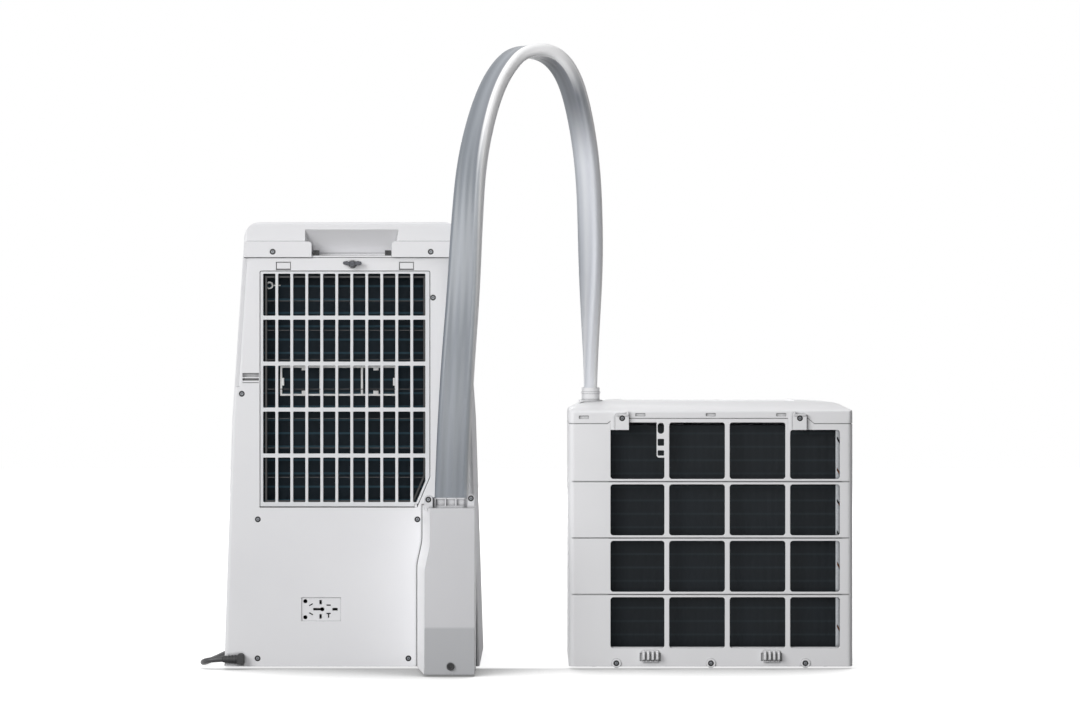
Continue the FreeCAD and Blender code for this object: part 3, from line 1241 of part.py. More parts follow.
def outdoor_rear_cover():
    region = box((-far, far), (rear_y - 1, rear_y + outdoor_lip), (skirt_height, outdoor_crown + 10))
    cover = fuse([outdoor_shell.common(region).cut(above_seam())] + rear_ribs())
    cuts = [rear_window(column, row) for column in range(rear_windows) for row in range(rear_windows)]
    cuts += skirt_blocks()
    for row in range(1, rear_windows):
        z = rear_window_bottom + row * rear_window_pitch - rear_window_bar[1] / 2
        cuts.append(box((outdoor_x + rear_window_left - 3, outdoor_x + rear_window_right + 3), (rear_y - 1, rear_y + groove_depth),
                        (z - groove_width / 2, z + groove_width / 2)))
        cuts.append(box((outdoor_x - outdoor_half + 3, outdoor_x + outdoor_half - 3), (rear_y - 1, rear_y + reveal[1]),
                        (z - groove_width / 2, z + groove_width / 2)))
    adds = [cable_strip()]
    holes = []
    for x in foot_screws:
        adds.append(rod("y", (outdoor_x + x, foot_screw_z), 7.2, (rear_y - 1.5, rear_y + 8)))
        hole = rod("y", (outdoor_x + x, foot_screw_z), screw_hole_radius, (rear_y - 3, rear_y + 12))
        recess = rod("y", (outdoor_x + x, foot_screw_z), screw_recess_radius, (rear_y - 3, rear_y + screw_recess_depth - 1.5))
        holes.append(hole.fuse(recess))
    for side in (-1, 1):
        x = outdoor_x + side * spacer_x
        cuts.append(box((x - spacer_half - spacer_slot, x + spacer_half + spacer_slot), (rear_y - 1, rear_y + 2.0),
                        (spacer_z[0] + 2, spacer_z[1] - 4)))
    cuts.append(seam_groove())
    return carve(fuse([carve(cover, cuts)] + adds), holes)


def bracket_plate(side):
    x = outdoor_x + side * bracket_x
    return box((x - bracket_half, x + bracket_half), (rear_y - bracket_projection, rear_y), bracket_z)


def skirt_blocks():
    """Tabs of the top cover that hang over the window corners behind the brackets."""
    return [box((outdoor_x + x0, outdoor_x + x1), (rear_y, rear_y + wall), (bracket_z[0], outdoor_seam + outdoor_seam_rise + 2))
            for x0, x1 in ((rear_window_left, -bracket_x + bracket_half), (bracket_x - 18, bracket_x + bracket_half))]


recess_half = 140.0               # shallow tray in the middle of the outdoor unit's top
recess_depth = 3.0
slot_size = (15.5, 5.0)
slot_depth = 2.0
slot_places = ((-198.0, 9.4), (-109.9, 13.4), (0.0, 13.4), (109.9, 13.4))     # across, above the seam


def outdoor_top_cover():
    cover = outdoor_shell.common(above_seam())
    tray = prism([(outdoor_x - recess_half, outdoor_crown + 5), (outdoor_x - recess_half + 6, outdoor_crown - recess_depth),
                  (outdoor_x + recess_half - 6, outdoor_crown - recess_depth), (outdoor_x + recess_half, outdoor_crown + 5)],
                 "xz", (rear_y + 30, outdoor_front - 40))
    backing = prism([(outdoor_x - recess_half - 3, outdoor_crown - 1),
                     (outdoor_x - recess_half + 3, outdoor_crown - recess_depth - wall),
                     (outdoor_x + recess_half - 3, outdoor_crown - recess_depth - wall),
                     (outdoor_x + recess_half + 3, outdoor_crown - 1)], "xz", (rear_y + 28, outdoor_front - 38))
    flange = oval(hose_thickness + 2 * socket_wall + 9.6, hose_width + 2 * socket_wall + 9.6, (socket_x, socket_y),
                  (socket_base, socket_base + 30))
    cuts = [tray, flange]
    for x, rise in slot_places:
        z = outdoor_seam + rise
        cuts.append(prism(rectangle((outdoor_x + x - slot_size[0] / 2, outdoor_x + x + slot_size[0] / 2),
                                    (z - slot_size[1] / 2, z + slot_size[1] / 2), 1.2), "xz", (rear_y - 1, rear_y + slot_depth)))
    for side in (-1, 1):
        cuts.append(rod("y", (outdoor_x + side * bracket_x, bracket_screw_z), screw_hole_radius, (rear_y - 1, rear_y + 20)))
    socket_boss = box((socket_x - 12, socket_x + 12), (socket_y - 30, socket_y + 30),
                      (socket_base - 20, socket_base)).common(outdoor_body(0.0))
    return carve(fuse([cover, backing.common(outdoor_body(0.0)), socket_boss] + skirt_blocks()), cuts)


def outdoor_front_cover():
    region = box((-far, far), (rear_y + outdoor_lip, far), (skirt_height, outdoor_crown + 10))
    cover = carve(outdoor_shell.common(region).cut(above_seam()), [seam_groove()])
    centre = (outdoor_x, fan_z)
    ring = tube("y", centre, fan_radius + 8 + wall, fan_radius + 8, (outdoor_front - 60, outdoor_front))
    return cover.cut(rod("y", centre, fan_radius + 8, (outdoor_front - 20, outdoor_front + 5))).fuse(ring)


# ---------------------------------------------------------------- fan, motor and guard
fan_radius = outdoor_shoulder / 2 - 51.5
fan_z = outdoor_shoulder / 2 + 0.5
fan_y = (outdoor_front - 66.0, outdoor_front - 22.0)
fan_blades = 5
hub_radius = 34.0
guard_rings = 7
guard_spokes = 8


def fan_blade():
    """Twisted blade lofted from a steep root to a flatter tip section."""
    sections = []
    middle = (fan_y[0] + fan_y[1]) / 2
    for radius, angle, half_chord in ((hub_radius - 3, 40.0, 24.0), (90.0, 28.0, 42.0), (fan_radius - 2, 20.0, 52.0)):
        pitch = math.radians(angle)
        along = Vector(0, math.sin(pitch), math.cos(pitch))
        across = Vector(0, math.cos(pitch), -math.sin(pitch))
        corners = [Vector(radius, middle, 0) + along * (sa * half_chord) + across * (sb * 1.1)
                   for sa, sb in ((-1, -1), (1, -1), (1, 1), (-1, 1))]
        sections.append(Part.makePolygon(corners + [corners[0]]))
    return Part.makeLoft(sections, True, True)


def outdoor_fan():
    centre = (outdoor_x, fan_z)
    hub = rod("y", centre, hub_radius, fan_y)
    blades = []
    for index in range(fan_blades):
        blade = fan_blade()
        blade.rotate(Vector(0, 0, 0), Vector(0, 1, 0), index * 360 / fan_blades)
        blade.translate(Vector(outdoor_x, 0, fan_z))
        blades.append(blade)
    swept = rod("y", centre, fan_radius, (fan_y[0] - 2, fan_y[1] + 2))
    bore = rod("y", centre, shaft_radius + running_clearance, (fan_y[0] - 5, fan_y[1] - 6))
    hollow = rod("y", centre, hub_radius - 4, (fan_y[0] - 1, fan_y[0] + 14))
    boss = rod("y", centre, 10, (fan_y[0], fan_y[1] - 2))
    return fuse([hub.cut(hollow), boss] + blades).common(swept).cut(bore)


motor_length = 52.0


def fan_motor():
    """Motor with its shaft, on an upright sheet-metal bracket that stands in the base and meets the top."""
    centre = (outdoor_x, fan_z)
    back = fan_y[0] - 6 - motor_length
    can = rod("y", centre, 42, (back, back + motor_length))
    shaft = rod("y", centre, shaft_radius, (back + motor_length - 1, fan_y[1] - 8))
    uprights = [box((outdoor_x + side * 30 - 7, outdoor_x + side * 30 + 7), (back - 3, back),
                    (outdoor_pan[1], outdoor_crown - recess_depth - wall)) for side in (-1, 1)]
    return fuse([can, shaft] + uprights)


def fan_guard():
    """Round guard of rings and spokes set in the front opening."""
    centre = (outdoor_x, fan_z)
    span = (outdoor_front - 4, outdoor_front - 1)
    outer = fan_radius + 8
    rings = [tube("y", centre, outer, outer - 4, (outdoor_front - 8, outdoor_front - 1))]
    step = (outer - 40) / guard_rings
    rings += [tube("y", centre, outer - index * step + 1, outer - index * step - 1, span) for index in range(1, guard_rings)]
    hub = rod("y", centre, 36, span)
    spokes = []
    for index in range(guard_spokes):
        spoke = box((30, outer - 2), (outdoor_front - 4.5, outdoor_front - 1), (-1.2, 1.2))
        spoke.rotate(Vector(0, 0, 0), Vector(0, 1, 0), index * 360 / guard_spokes)
        spoke.translate(Vector(outdoor_x, 0, fan_z))
        spokes.append(spoke)
    return fuse(rings + [hub] + spokes)


# ---------------------------------------------------------------- outdoor base, coil and small parts
outdoor_pan = (6.0, 8.5)
outdoor_coil_y = (rear_y + 14.0, rear_y + 44.0)
outdoor_coil_x = (53.7 - outdoor_half, outdoor_half - 25.7)
outdoor_coil_z = (outdoor_pan[1], outdoor_seam - 3.2)
outdoor_levels = tube_levels(outdoor_coil_z[0] + 10, outdoor_coil_z[1] - 10, tube_pitch)
foot_radius = 15.0
foot_inset = (40.0, 45.0)


def outdoor_base():
    tray = outdoor_body(wall + seat_gap).common(box((-far, far), (-far, far), (outdoor_pan[0], 34.0)))
    hollow = outdoor_body(2 * wall + seat_gap).common(box((-far, far), (-far, far), (outdoor_pan[1], far)))
    room = [rod("y", (outdoor_x + x, foot_screw_z), 8.2, (rear_y - 1, rear_y + screw_length)) for x in foot_screws]
    return carve(tray, [hollow] + room)


def outdoor_feet():
    """Rubber feet under the base's corners."""
    feet = []
    for side in (-1, 1):
        for y in (rear_y + foot_inset[1], outdoor_front - foot_inset[1]):
            x = outdoor_x + side * (outdoor_half - foot_inset[0])
            feet.append(Part.makeCone(foot_radius - 2, foot_radius, outdoor_pan[0], Vector(x, y, 0)))
    return group(feet)


plate_slits = 7
slit_pitch = 49.0


def condenser_end_plate():
    """Sheet-metal end of the coil, its rear flange pierced by slanted slits."""
    x0 = outdoor_x + outdoor_coil_x[1]
    top = outdoor_coil_z[1]
    web = box((x0, x0 + 1.5), outdoor_coil_y, (outdoor_pan[1], top))
    flange = box((x0, x0 + 13), (outdoor_coil_y[0] - 2, outdoor_coil_y[0]), (outdoor_pan[1], top))
    slits = []
    for index in range(plate_slits):
        z = top - 30 - index * slit_pitch
        slits.append(prism([(x0 + 2, z + 8), (x0 + 7, z), (x0 + 7, z + 5), (x0 + 2, z + 13)], "xz",
                           (outdoor_coil_y[0] - 3, outdoor_coil_y[0] + 1)))
    holes = [rod("x", (sum(outdoor_coil_y) / 2, level), tube_radius + 0.1, (x0 - 1, x0 + 3)) for level in outdoor_levels]
    return carve(web.fuse(flange), slits + holes)


def hanging_bracket(side):
    """Stepped bracket under the top cover's rear edge, with a hook tip that takes the window sling."""
    plate = bracket_plate(side)
    x = outdoor_x + side * bracket_x
    low, high = bracket_z
    front = rear_y - bracket_projection
    tip = prism([(x + bracket_half - 5, high - 1), (x + bracket_half, high - 1), (x + bracket_half - 1.5, high + 6)], "xz",
                (front, front + 2.5))
    if side > 0:
        tip = tip.mirror(Vector(x, 0, 0), Vector(1, 0, 0))
    lip = box((x - bracket_half + 1, x + bracket_half - 1), (front - bracket_lip[1], front), (high - bracket_lip[0], high))
    hole = rod("y", (x, bracket_screw_z), screw_hole_radius, (rear_y - 20, rear_y + 1))
    recess = rod("y", (x, bracket_screw_z), screw_recess_radius, (rear_y - 20, rear_y - bracket_projection + screw_recess_depth))
    return fuse([plate, tip, lip]).cut(hole.fuse(recess))


def wall_spacer(side):
    """Ribbed buffer that keeps the unit off the wall below a window."""
    x = outdoor_x + side * spacer_x
    low, high = spacer_z
    back = box((x - spacer_half, x + spacer_half), (rear_y - 2, rear_y), (low, high))
    ribs = []
    for index in range(4):
        rib_x = x - spacer_half + 1.8 + index * (2 * spacer_half - 3.6) / 3
        ribs.append(prism([(rear_y, low + 1), (rear_y - 9, low + 5, 2), (rear_y - 9, high - 4, 2), (rear_y, high)], "yz",
                          (rib_x - 1.8, rib_x + 1.8)))
    return fuse([back] + ribs)


def hose_socket():
    """Socket on the outdoor unit's top: flange, flat-oval sleeve and a bead round its mouth."""
    centre = (socket_x, socket_y)
    thick = hose_thickness + 2 * socket_wall
    wide = hose_width + 2 * socket_wall
    flange = oval(thick + 9, wide + 9, centre, (socket_base, socket_base + 2.5))
    sleeve = oval(thick, wide, centre, (socket_base, socket_top))
    bead = oval(thick + 2.4, wide + 2.4, centre, (socket_top - 9, socket_top - 6.5))
    hole = oval(hose_thickness, hose_width, centre, (socket_base - 1, socket_top + 1))
    return fuse([flange, sleeve, bead]).cut(hole)


# ---------------------------------------------------------------- write every piece
def main():
    export("rear_panel", rear_panel())
    export("front_shell", front_shell())
    export("top_cover", top_cover())
    export("pocket_cleats", pocket_cleats())
    export("control_panel", control_panel())
    export("display_window", display_window())
    for index, name in enumerate(button_names):
        export(f"button_{name}", button(index))
    export("outlet_frame", outlet_frame())
    export("outlet_flap", outlet_flap())
    export("intake_grille", intake_grille())
    export("intake_filter", intake_filter())
    export("wing_screw", wing_screw())
    export("base_pan", base_pan())
    for name in castor_places:
        export(f"castor_fork_{name}", castor_fork(name))
        export(f"castor_wheel_{name}", castor_wheel(name))
    export("condensate_deck", condensate_deck())
    coil = ((indoor_x + coil_x[0], indoor_x + coil_x[1]), (coil_front, coil_front + coil_depth))
    export("evaporator_fins", coil_fins(coil[0], coil[1], coil_z, coil_levels))
    export("evaporator_tubes", coil_tubes(coil[0], coil[1], coil_levels))
    export("evaporator_support", evaporator_support())
    export("coil_sensor", coil_sensor())
    export("blower_housing", blower_housing())
    export("blower_wheel", blower_wheel())
    export("blower_motor", blower_motor())
    export("compressor", compressor())
    export("compressor_mounts", compressor_mounts())
    export("electronics_box", electronics_box())
    export("hose_cover", hose_cover())
    export("hose_collar", hose_collar())
    export("drain_plug", drain_plug())
    export("hose", hose())
    screws = [screw(indoor_x + x, z, rear_y) for x, z in panel_screw_places]
    screws += [screw(indoor_x + x, z, rear_y - ear_height) for x, z in ear_screw_places]
    screws += [screw(duct_x + offset, cover_top + rise - half, hose_y - ear_depth[0]) for offset, half, rise in collar_ears]
    export("indoor_screws", group(screws))
    export("mains_gland", mains_gland())
    export("mains_lead", mains_lead())
    export("mains_lead_coil", lead_ring(0.0))
    export("mains_plug", mains_plug())
    export("cord_tie", cord_tie())
    export("outdoor_base", outdoor_base())
    export("outdoor_feet", outdoor_feet())
    export("outdoor_rear_cover", outdoor_rear_cover())
    export("outdoor_top_cover", outdoor_top_cover())
    export("outdoor_front_cover", outdoor_front_cover())
    export("fan_guard", fan_guard())
    export("outdoor_fan", outdoor_fan())
    export("fan_motor", fan_motor())
    coil = ((outdoor_x + outdoor_coil_x[0], outdoor_x + outdoor_coil_x[1]), outdoor_coil_y)
    export("condenser_fins", coil_fins(coil[0], coil[1], outdoor_coil_z, outdoor_levels))
    export("condenser_tubes", coil_tubes(coil[0], coil[1], outdoor_levels))
    export("condenser_end_plate", condenser_end_plate())
    export("hanging_brackets", group([hanging_bracket(side) for side in (-1, 1)]))
    export("wall_spacers", group([wall_spacer(side) for side in (-1, 1)]))
    screws = [screw(outdoor_x + x, foot_screw_z, rear_y - 1.5) for x in foot_screws]
    screws += [screw(outdoor_x + side * bracket_x, bracket_screw_z, rear_y - bracket_projection) for side in (-1, 1)]
    export("outdoor_screws", group(screws))
    export("hose_socket", hose_socket())


main()
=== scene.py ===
import json
import math

import bmesh
import bpy
from mathutils import Matrix, Vector


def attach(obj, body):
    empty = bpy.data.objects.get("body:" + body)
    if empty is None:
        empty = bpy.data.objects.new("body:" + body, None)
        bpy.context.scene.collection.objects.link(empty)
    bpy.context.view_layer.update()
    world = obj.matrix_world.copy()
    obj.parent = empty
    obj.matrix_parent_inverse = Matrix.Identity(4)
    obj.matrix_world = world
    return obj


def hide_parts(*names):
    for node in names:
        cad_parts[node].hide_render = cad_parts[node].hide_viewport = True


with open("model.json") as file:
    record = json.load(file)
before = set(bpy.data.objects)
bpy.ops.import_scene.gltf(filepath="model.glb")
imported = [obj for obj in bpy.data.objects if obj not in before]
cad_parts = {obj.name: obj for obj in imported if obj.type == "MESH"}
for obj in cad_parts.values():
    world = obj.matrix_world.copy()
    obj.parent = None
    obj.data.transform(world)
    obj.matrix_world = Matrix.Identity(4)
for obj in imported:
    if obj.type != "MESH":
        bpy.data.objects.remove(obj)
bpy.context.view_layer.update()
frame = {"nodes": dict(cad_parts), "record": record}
nodes = frame["nodes"]
bodyOf = {node: body for body, members in frame["record"]["behaviour"]["bodies"].items() for node in members}
print("stage 1: frame loaded,", len(nodes), "nodes")


def clearSelection():
    if bpy.context.object and bpy.context.object.mode != "OBJECT":
        bpy.ops.object.mode_set(mode="OBJECT")
    bpy.ops.object.select_all(action="DESELECT")


def pick(obj):
    clearSelection()
    obj.select_set(True)
    bpy.context.view_layer.objects.active = obj


def linkNew(name, data):  # a new object at the origin
    obj = bpy.data.objects.new(name, data)
    bpy.context.scene.collection.objects.link(obj)
    return obj


def eased(share):  # a smooth start and end between 0 and 1
    share = min(max(share, 0.0), 1.0)
    return share * share * (3 - 2 * share)


# camera, level and square to the rear of both units
cameraView = {"place": (0.0024, -4.0985, 0.4867), "lens": 85.47, "sensor": 36.0, "clipEnd": 60}
clearSelection()
bpy.ops.object.camera_add(location=cameraView["place"], rotation=(math.pi / 2, 0, 0))
camera = bpy.context.object
camera.data.lens = cameraView["lens"]
camera.data.sensor_width = cameraView["sensor"]
camera.data.clip_end = cameraView["clipEnd"]
bpy.context.scene.camera = camera


# hose between the units: a flat flexible sleeve over the pipes
hoseFacts = {
    "width": 0.052, "thickness": 0.020, "length": 1.352,
    "turns": (-56, -34),      # degrees of twist over the arch, and again down to the socket
    "turnEnds": (0.66, 0.80),    # shares of the length where the first twist ends and the second starts
    "corner": 0.008,          # radius of its narrow edges
    "cornerStep": 15,         # degrees between the points round a corner
    "flute": 0.0002,          # relief of the long flutes on the broad faces
    "flutes": 3, "fluteSteps": 24,
    "fineness": 10,
    "route": [(-0.1342, -0.1585, 0.2532), (-0.131, -0.157, 0.35), (-0.125, -0.15, 0.464), (-0.116, -0.136, 0.587),
              (-0.111, -0.12, 0.699), (-0.104, -0.105, 0.794), (-0.084, -0.09, 0.881), (-0.06, -0.08, 0.936),
              (-0.03, -0.073, 0.967), (0.015, -0.065, 0.967), (0.046, -0.058, 0.936), (0.065, -0.048, 0.874),
              (0.079, -0.035, 0.783), (0.083, -0.022, 0.673), (0.083, -0.012, 0.549), (0.083, -0.0085, 0.416)],
}


def routeCurve(name, points, fineness):
    data = bpy.data.curves.new(name, "CURVE")
    data.dimensions = "3D"
    data.resolution_u = fineness
    data.use_fill_caps = True
    spline = data.splines.new("NURBS")
    spline.points.add(len(points) - 1)
    for point, place in zip(spline.points, points):
        point.co = (*place, 1)
    spline.order_u = 3
    spline.use_endpoint_u = True
    return linkNew(name, data)


def curvePoints(obj, gap=0.0008):  # the places along a curve that has no bevel, none nearer than the gap
    mesh = bpy.data.meshes.new_from_object(obj.evaluated_get(bpy.context.evaluated_depsgraph_get()))
    places = [v.co.copy() for v in mesh.vertices]
    bpy.data.meshes.remove(mesh)
    kept = places[:1]
    for place in places[1:]:
        if (place - kept[-1]).length > gap:
            kept.append(place)
    return kept


def hoseSection(facts):  # points across and through the hose, from the middle of one narrow edge
    halfWide, halfThick, corner = facts["width"] / 2, facts["thickness"] / 2, facts["corner"]
    places = []
    for signWide, signThick, start in ((1, 1, 0), (-1, 1, 90), (-1, -1, 180), (1, -1, 270)):
        centre = (signWide * (halfWide - corner), signThick * (halfThick - corner))
        for turned in range(0, 91, facts["cornerStep"]):
            angle = math.radians(start + turned)
            places.append((centre[0] + corner * math.cos(angle), centre[1] + corner * math.sin(angle)))
        if start in (0, 180):  # flutes along the broad face that follows this corner
            side = 1 if start == 0 else -1
            for step in range(1, facts["fluteSteps"]):
                share = step / facts["fluteSteps"]
                across = side * (halfWide - corner) * (1 - 2 * share)
                dip = facts["flute"] * (0.5 - 0.5 * math.cos(2 * facts["flutes"] * math.pi * share))
                places.append((across, side * (halfThick - dip)))
    return places


def hoseTwist(share, facts):  # how far the broad faces have turned at a share of the length
    firstEnd, secondStart = facts["turnEnds"]
    return math.radians(facts["turns"][0] * eased(share / firstEnd)
                        + facts["turns"][1] * eased((share - secondStart) / (1 - secondStart)))


def sweepHose(facts):
    guide = routeCurve("hoseGuide", facts["route"], facts["fineness"])
    path = curvePoints(guide)
    bpy.data.objects.remove(guide)
    lengths = [0.0]
    for before, after in zip(path, path[1:]):
        lengths.append(lengths[-1] + (after - before).length)
    section = hoseSection(facts)
    count = len(section)
    mesh = bmesh.new()
    uvLayer = mesh.loops.layers.uv.new("alongHose")
    rings = []
    for index, place in enumerate(path):
        ahead = (path[min(index + 1, len(path) - 1)] - path[max(index - 1, 0)]).normalized()
        angle = hoseTwist(lengths[index] / lengths[-1], facts)
        broad = Vector((math.cos(angle), math.sin(angle), 0))
        broad = (broad - ahead * broad.dot(ahead)).normalized()
        thin = ahead.cross(broad)
        rings.append([mesh.verts.new(place + broad * across + thin * through) for across, through in section])
    for index, (ring, nextRing) in enumerate(zip(rings, rings[1:])):
        for k in range(count):
            after = (k + 1) % count
            face = mesh.faces.new((ring[k], ring[after], nextRing[after], nextRing[k]))
            face.smooth = True
            for loop, (row, turn) in zip(face.loops, ((0, 0), (0, 1), (1, 1), (1, 0))):
                loop[uvLayer].uv = ((k + turn) / count, lengths[index + row])
    mesh.faces.new(list(reversed(rings[0])))
    mesh.faces.new(rings[-1])
    bmesh.ops.recalc_face_normals(mesh, faces=mesh.faces)
    data = bpy.data.meshes.new("flatHose")
    mesh.to_mesh(data)
    mesh.free()
    return linkNew("flatHose", data), path


flatHose, hosePath = sweepHose(hoseFacts)
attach(flatHose, "housing")
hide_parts("hose")

# mains lead: from its relief round the foot of the casing to a tied coil
leadFacts = {
    "diameter": 0.0085, "length": 1.76, "fineness": 6, "roundness": 4,
    "route": [(-0.4922, -0.105, 0.0161), (-0.5062, -0.1045, 0.0154), (-0.5182, -0.0975, 0.013),
              (-0.5252, -0.0845, 0.0095), (-0.5272, -0.0645, 0.006), (-0.5242, -0.0365, 0.0046),
              (-0.5172, 0.0115, 0.0045), (-0.5092, 0.0775, 0.0044), (-0.5032, 0.1395, 0.0046),
              (-0.4942, 0.1955, 0.0048), (-0.4662, 0.2285, 0.0048)],
    "coilCentre": (-0.4112, 0.2835), "coilStart": -107, "stepDegrees": 22,
    # degrees wound, radius and height where each stretch of the winding ends
    "winding": [(0, 0.0505, 0.0044), (300, 0.0505, 0.0044), (350, 0.0417, 0.0044), (600, 0.0417, 0.0044),
                (655, 0.0417, 0.0130), (905, 0.0417, 0.0130), (955, 0.0505, 0.0130), (1205, 0.0505, 0.0130),
                (1260, 0.0460, 0.0213), (1590, 0.0460, 0.0213)],
    "tail": [(-0.3803, 0.3209, 0.0222), (-0.3799, 0.3310, 0.0205), (-0.3810, 0.3440, 0.0192),
             (-0.3880, 0.3555, 0.0190), (-0.4030, 0.3588, 0.0190), (-0.4150, 0.3588, 0.0190)],
}


def coilPoints(facts):
    places = []
    grow = 1 / math.cos(math.radians(facts["stepDegrees"] / 2))  # control points lie outside their curve
    for wound in range(0, facts["winding"][-1][0] + 1, facts["stepDegrees"]):
        for (a, r0, z0), (b, r1, z1) in zip(facts["winding"], facts["winding"][1:]):
            if a <= wound <= b:
                share = eased((wound - a) / (b - a))
                radius, height = r0 + (r1 - r0) * share, z0 + (z1 - z0) * share
                break
        angle = math.radians(facts["coilStart"] + wound)
        places.append((facts["coilCentre"][0] + radius * grow * math.cos(angle),
                       facts["coilCentre"][1] + radius * grow * math.sin(angle), height))
    return places


mainsLead = routeCurve("mainsLead", leadFacts["route"] + coilPoints(leadFacts) + leadFacts["tail"], leadFacts["fineness"])
leadPath = curvePoints(mainsLead)
mainsLead.data.bevel_depth = leadFacts["diameter"] / 2
mainsLead.data.bevel_resolution = leadFacts["roundness"]
pick(mainsLead)
bpy.ops.object.convert(target="MESH")
mainsLead = bpy.context.object
bpy.ops.object.shade_smooth()
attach(mainsLead, "housing")
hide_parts("mains_lead", "mains_lead_coil")
print("stage 2: camera and cords")


def linear(hexText):  # sRGB hex to linear RGBA
    parts = [int(hexText[i:i + 2], 16) / 255 for i in (0, 2, 4)]
    return [p / 12.92 if p <= 0.04045 else ((p + 0.055) / 1.055) ** 2.4 for p in parts] + [1.0]


def addNode(material, kind, inputs=None, **settings):  # a node with its settings, values and links
    node = material.node_tree.nodes.new(kind)
    for name, value in settings.items():
        setattr(node, name, value)
    for name, value in (inputs or {}).items():
        if isinstance(value, bpy.types.NodeSocket):
            material.node_tree.links.new(value, node.inputs[name])
        else:
            node.inputs[name].default_value = value
    return node


def newMaterial(name):
    material = bpy.data.materials.new(name)
    material.use_nodes = True
    material.node_tree.nodes.clear()
    return material


def closeMaterial(material, shader):
    addNode(material, "ShaderNodeOutputMaterial", {"Surface": shader})
    return material


def objectPlace(material, scale=(1, 1, 1)):  # a pattern's coordinates, in metres on the object
    place = addNode(material, "ShaderNodeTexCoord").outputs["Object"]
    return addNode(material, "ShaderNodeMapping", {"Vector": place, "Scale": scale}).outputs["Vector"]


# joints, screw wells and slots are painted darker than the open skin over a few millimetres: dust, and painted shade
# where the recess shuts out light
wellDustAndShade = {"reach": 0.008, "deep": 0.45, "open": 0.85, "dust": 0.66, "dustAndShadeTone": "2e3034"}


def dustAndShadeInRecesses(material, colour, facts):
    openness = addNode(material, "ShaderNodeAmbientOcclusion", {"Distance": facts["reach"]},
                       samples=8, only_local=False).outputs["AO"]
    share = addNode(material, "ShaderNodeMapRange",
                    {"Value": openness, "From Min": facts["deep"], "From Max": facts["open"],
                     "To Min": facts["dust"], "To Max": 0.0}).outputs["Result"]
    return addNode(material, "ShaderNodeMixRGB",
                   {"Fac": share, "Color1": colour, "Color2": linear(facts["dustAndShadeTone"])}).outputs["Color"]


# Each plastic: its two tones, "cloud" soft patches in a metre, the grain in mm (the real 0.1 to 0.3 mm grain is
# drawn coarser, so that it shows), roughness, strength of the grain, radius of the moulded edges in metres, and IOR.
plastics = {
    # injection-moulded ABS with an eroded texture: clean white satin, slightly cloudy
    "indoorAbs": {"light": "e9e9eb", "dark": "e2e2e5", "cloud": 9, "grainMm": 1.6, "rough": 0.42, "bump": 0.10,
                  "edge": 0.0008, "ior": 1.53, "wells": True},
    # the same ABS in the large wrap-round moulding, whose coarser texture spreads the light: matt white
    "shellAbs": {"light": "e9e9eb", "dark": "e2e2e5", "cloud": 9, "grainMm": 1.6, "rough": 0.55, "bump": 0.10,
                 "edge": 0.0008, "ior": 1.53, "specular": 0.1, "wells": True},
    # ABS with a heavier texture: light grey, with painted shade making it greyer near the floor and a painted highlight
    # keeping the slanted sides bright
    "coverAbs": {"light": "d6d6d9", "dark": "cfcfd2", "cloud": 9, "grainMm": 1.6, "rough": 0.42, "bump": 0.10,
                 "edge": 0.0008, "ior": 1.53, "shadedLowTone": "b9babd", "lowZ": (0.073, 0.077), "litBevelTone": "f2f2f4",
                 "bevelTurn": (-0.15, 0.06), "wells": True},
    # ABS moulded as one thin grid: white satin with soft bar edges
    "grilleAbs": {"light": "e3e4e7", "dark": "dcdde0", "cloud": 9, "grainMm": 1.6, "rough": 0.45, "bump": 0.08,
                  "edge": 0.0006, "ior": 1.53, "wells": True},
    # injection-moulded weatherproof ASA: a colder, cleaner white than the ABS
    "outdoorAsa": {"light": "f1f1f3", "dark": "eaeaec", "cloud": 9, "grainMm": 1.8, "rough": 0.40, "bump": 0.10,
                   "edge": 0.0010, "ior": 1.52, "wells": True},
    # moulded natural polypropylene: milky and waxy
    "whitePolypropylene": {"light": "efefee", "dark": "e6e6e6", "cloud": 12, "grainMm": 1.5, "rough": 0.50, "bump": 0.06,
                           "edge": 0.0005, "ior": 1.49},
    # moulded talc-filled polypropylene: dull mid grey
    "greyPolypropylene": {"light": "62656a", "dark": "54575b", "cloud": 12, "grainMm": 1.5, "rough": 0.55, "bump": 0.08,
                          "edge": 0.0005, "ior": 1.49},
    # moulded ABS coloured through: dull black
    "blackAbs": {"light": "1b1b1d", "dark": "131315", "cloud": 12, "grainMm": 1.5, "rough": 0.55, "bump": 0.10,
                 "edge": 0.0005, "ior": 1.53},
    # smooth-moulded key caps: even grey with a soft sheen
    "buttonAbs": {"light": "8b8e93", "dark": "7f8287", "cloud": 20, "grainMm": 1.2, "rough": 0.45, "bump": 0.06,
                  "edge": 0.0006, "ior": 1.53},
    # cast smoked acrylic, polished: glassy black
    "displayAcrylic": {"light": "101114", "dark": "0b0c0e", "cloud": 10, "grainMm": 2.0, "rough": 0.10, "bump": 0.0,
                       "edge": 0.0004, "ior": 1.49},
    # compression-moulded rubber: matt and dusty
    "footRubber": {"light": "262626", "dark": "1b1b1b", "cloud": 25, "grainMm": 1.2, "rough": 0.80, "bump": 0.25,
                   "edge": 0.0006, "ior": 1.52},
    # moulded glass-filled nylon: dry charcoal
    "castorNylon": {"light": "35363a", "dark": "2b2c2f", "cloud": 20, "grainMm": 1.2, "rough": 0.50, "bump": 0.10,
                    "edge": 0.0005, "ior": 1.53},
    # extruded flexible PVC: charcoal with a soft sheen
    "leadPvc": {"light": "3a3a3c", "dark": "303032", "cloud": 30, "grainMm": 1.0, "rough": 0.45, "bump": 0.08,
                "edge": 0.0003, "ior": 1.53},
}
plasticSkin = {"cloudDetail": 3.0, "glossSpread": 0.04, "grainDepth": 0.0002, "edgeSamples": 4}


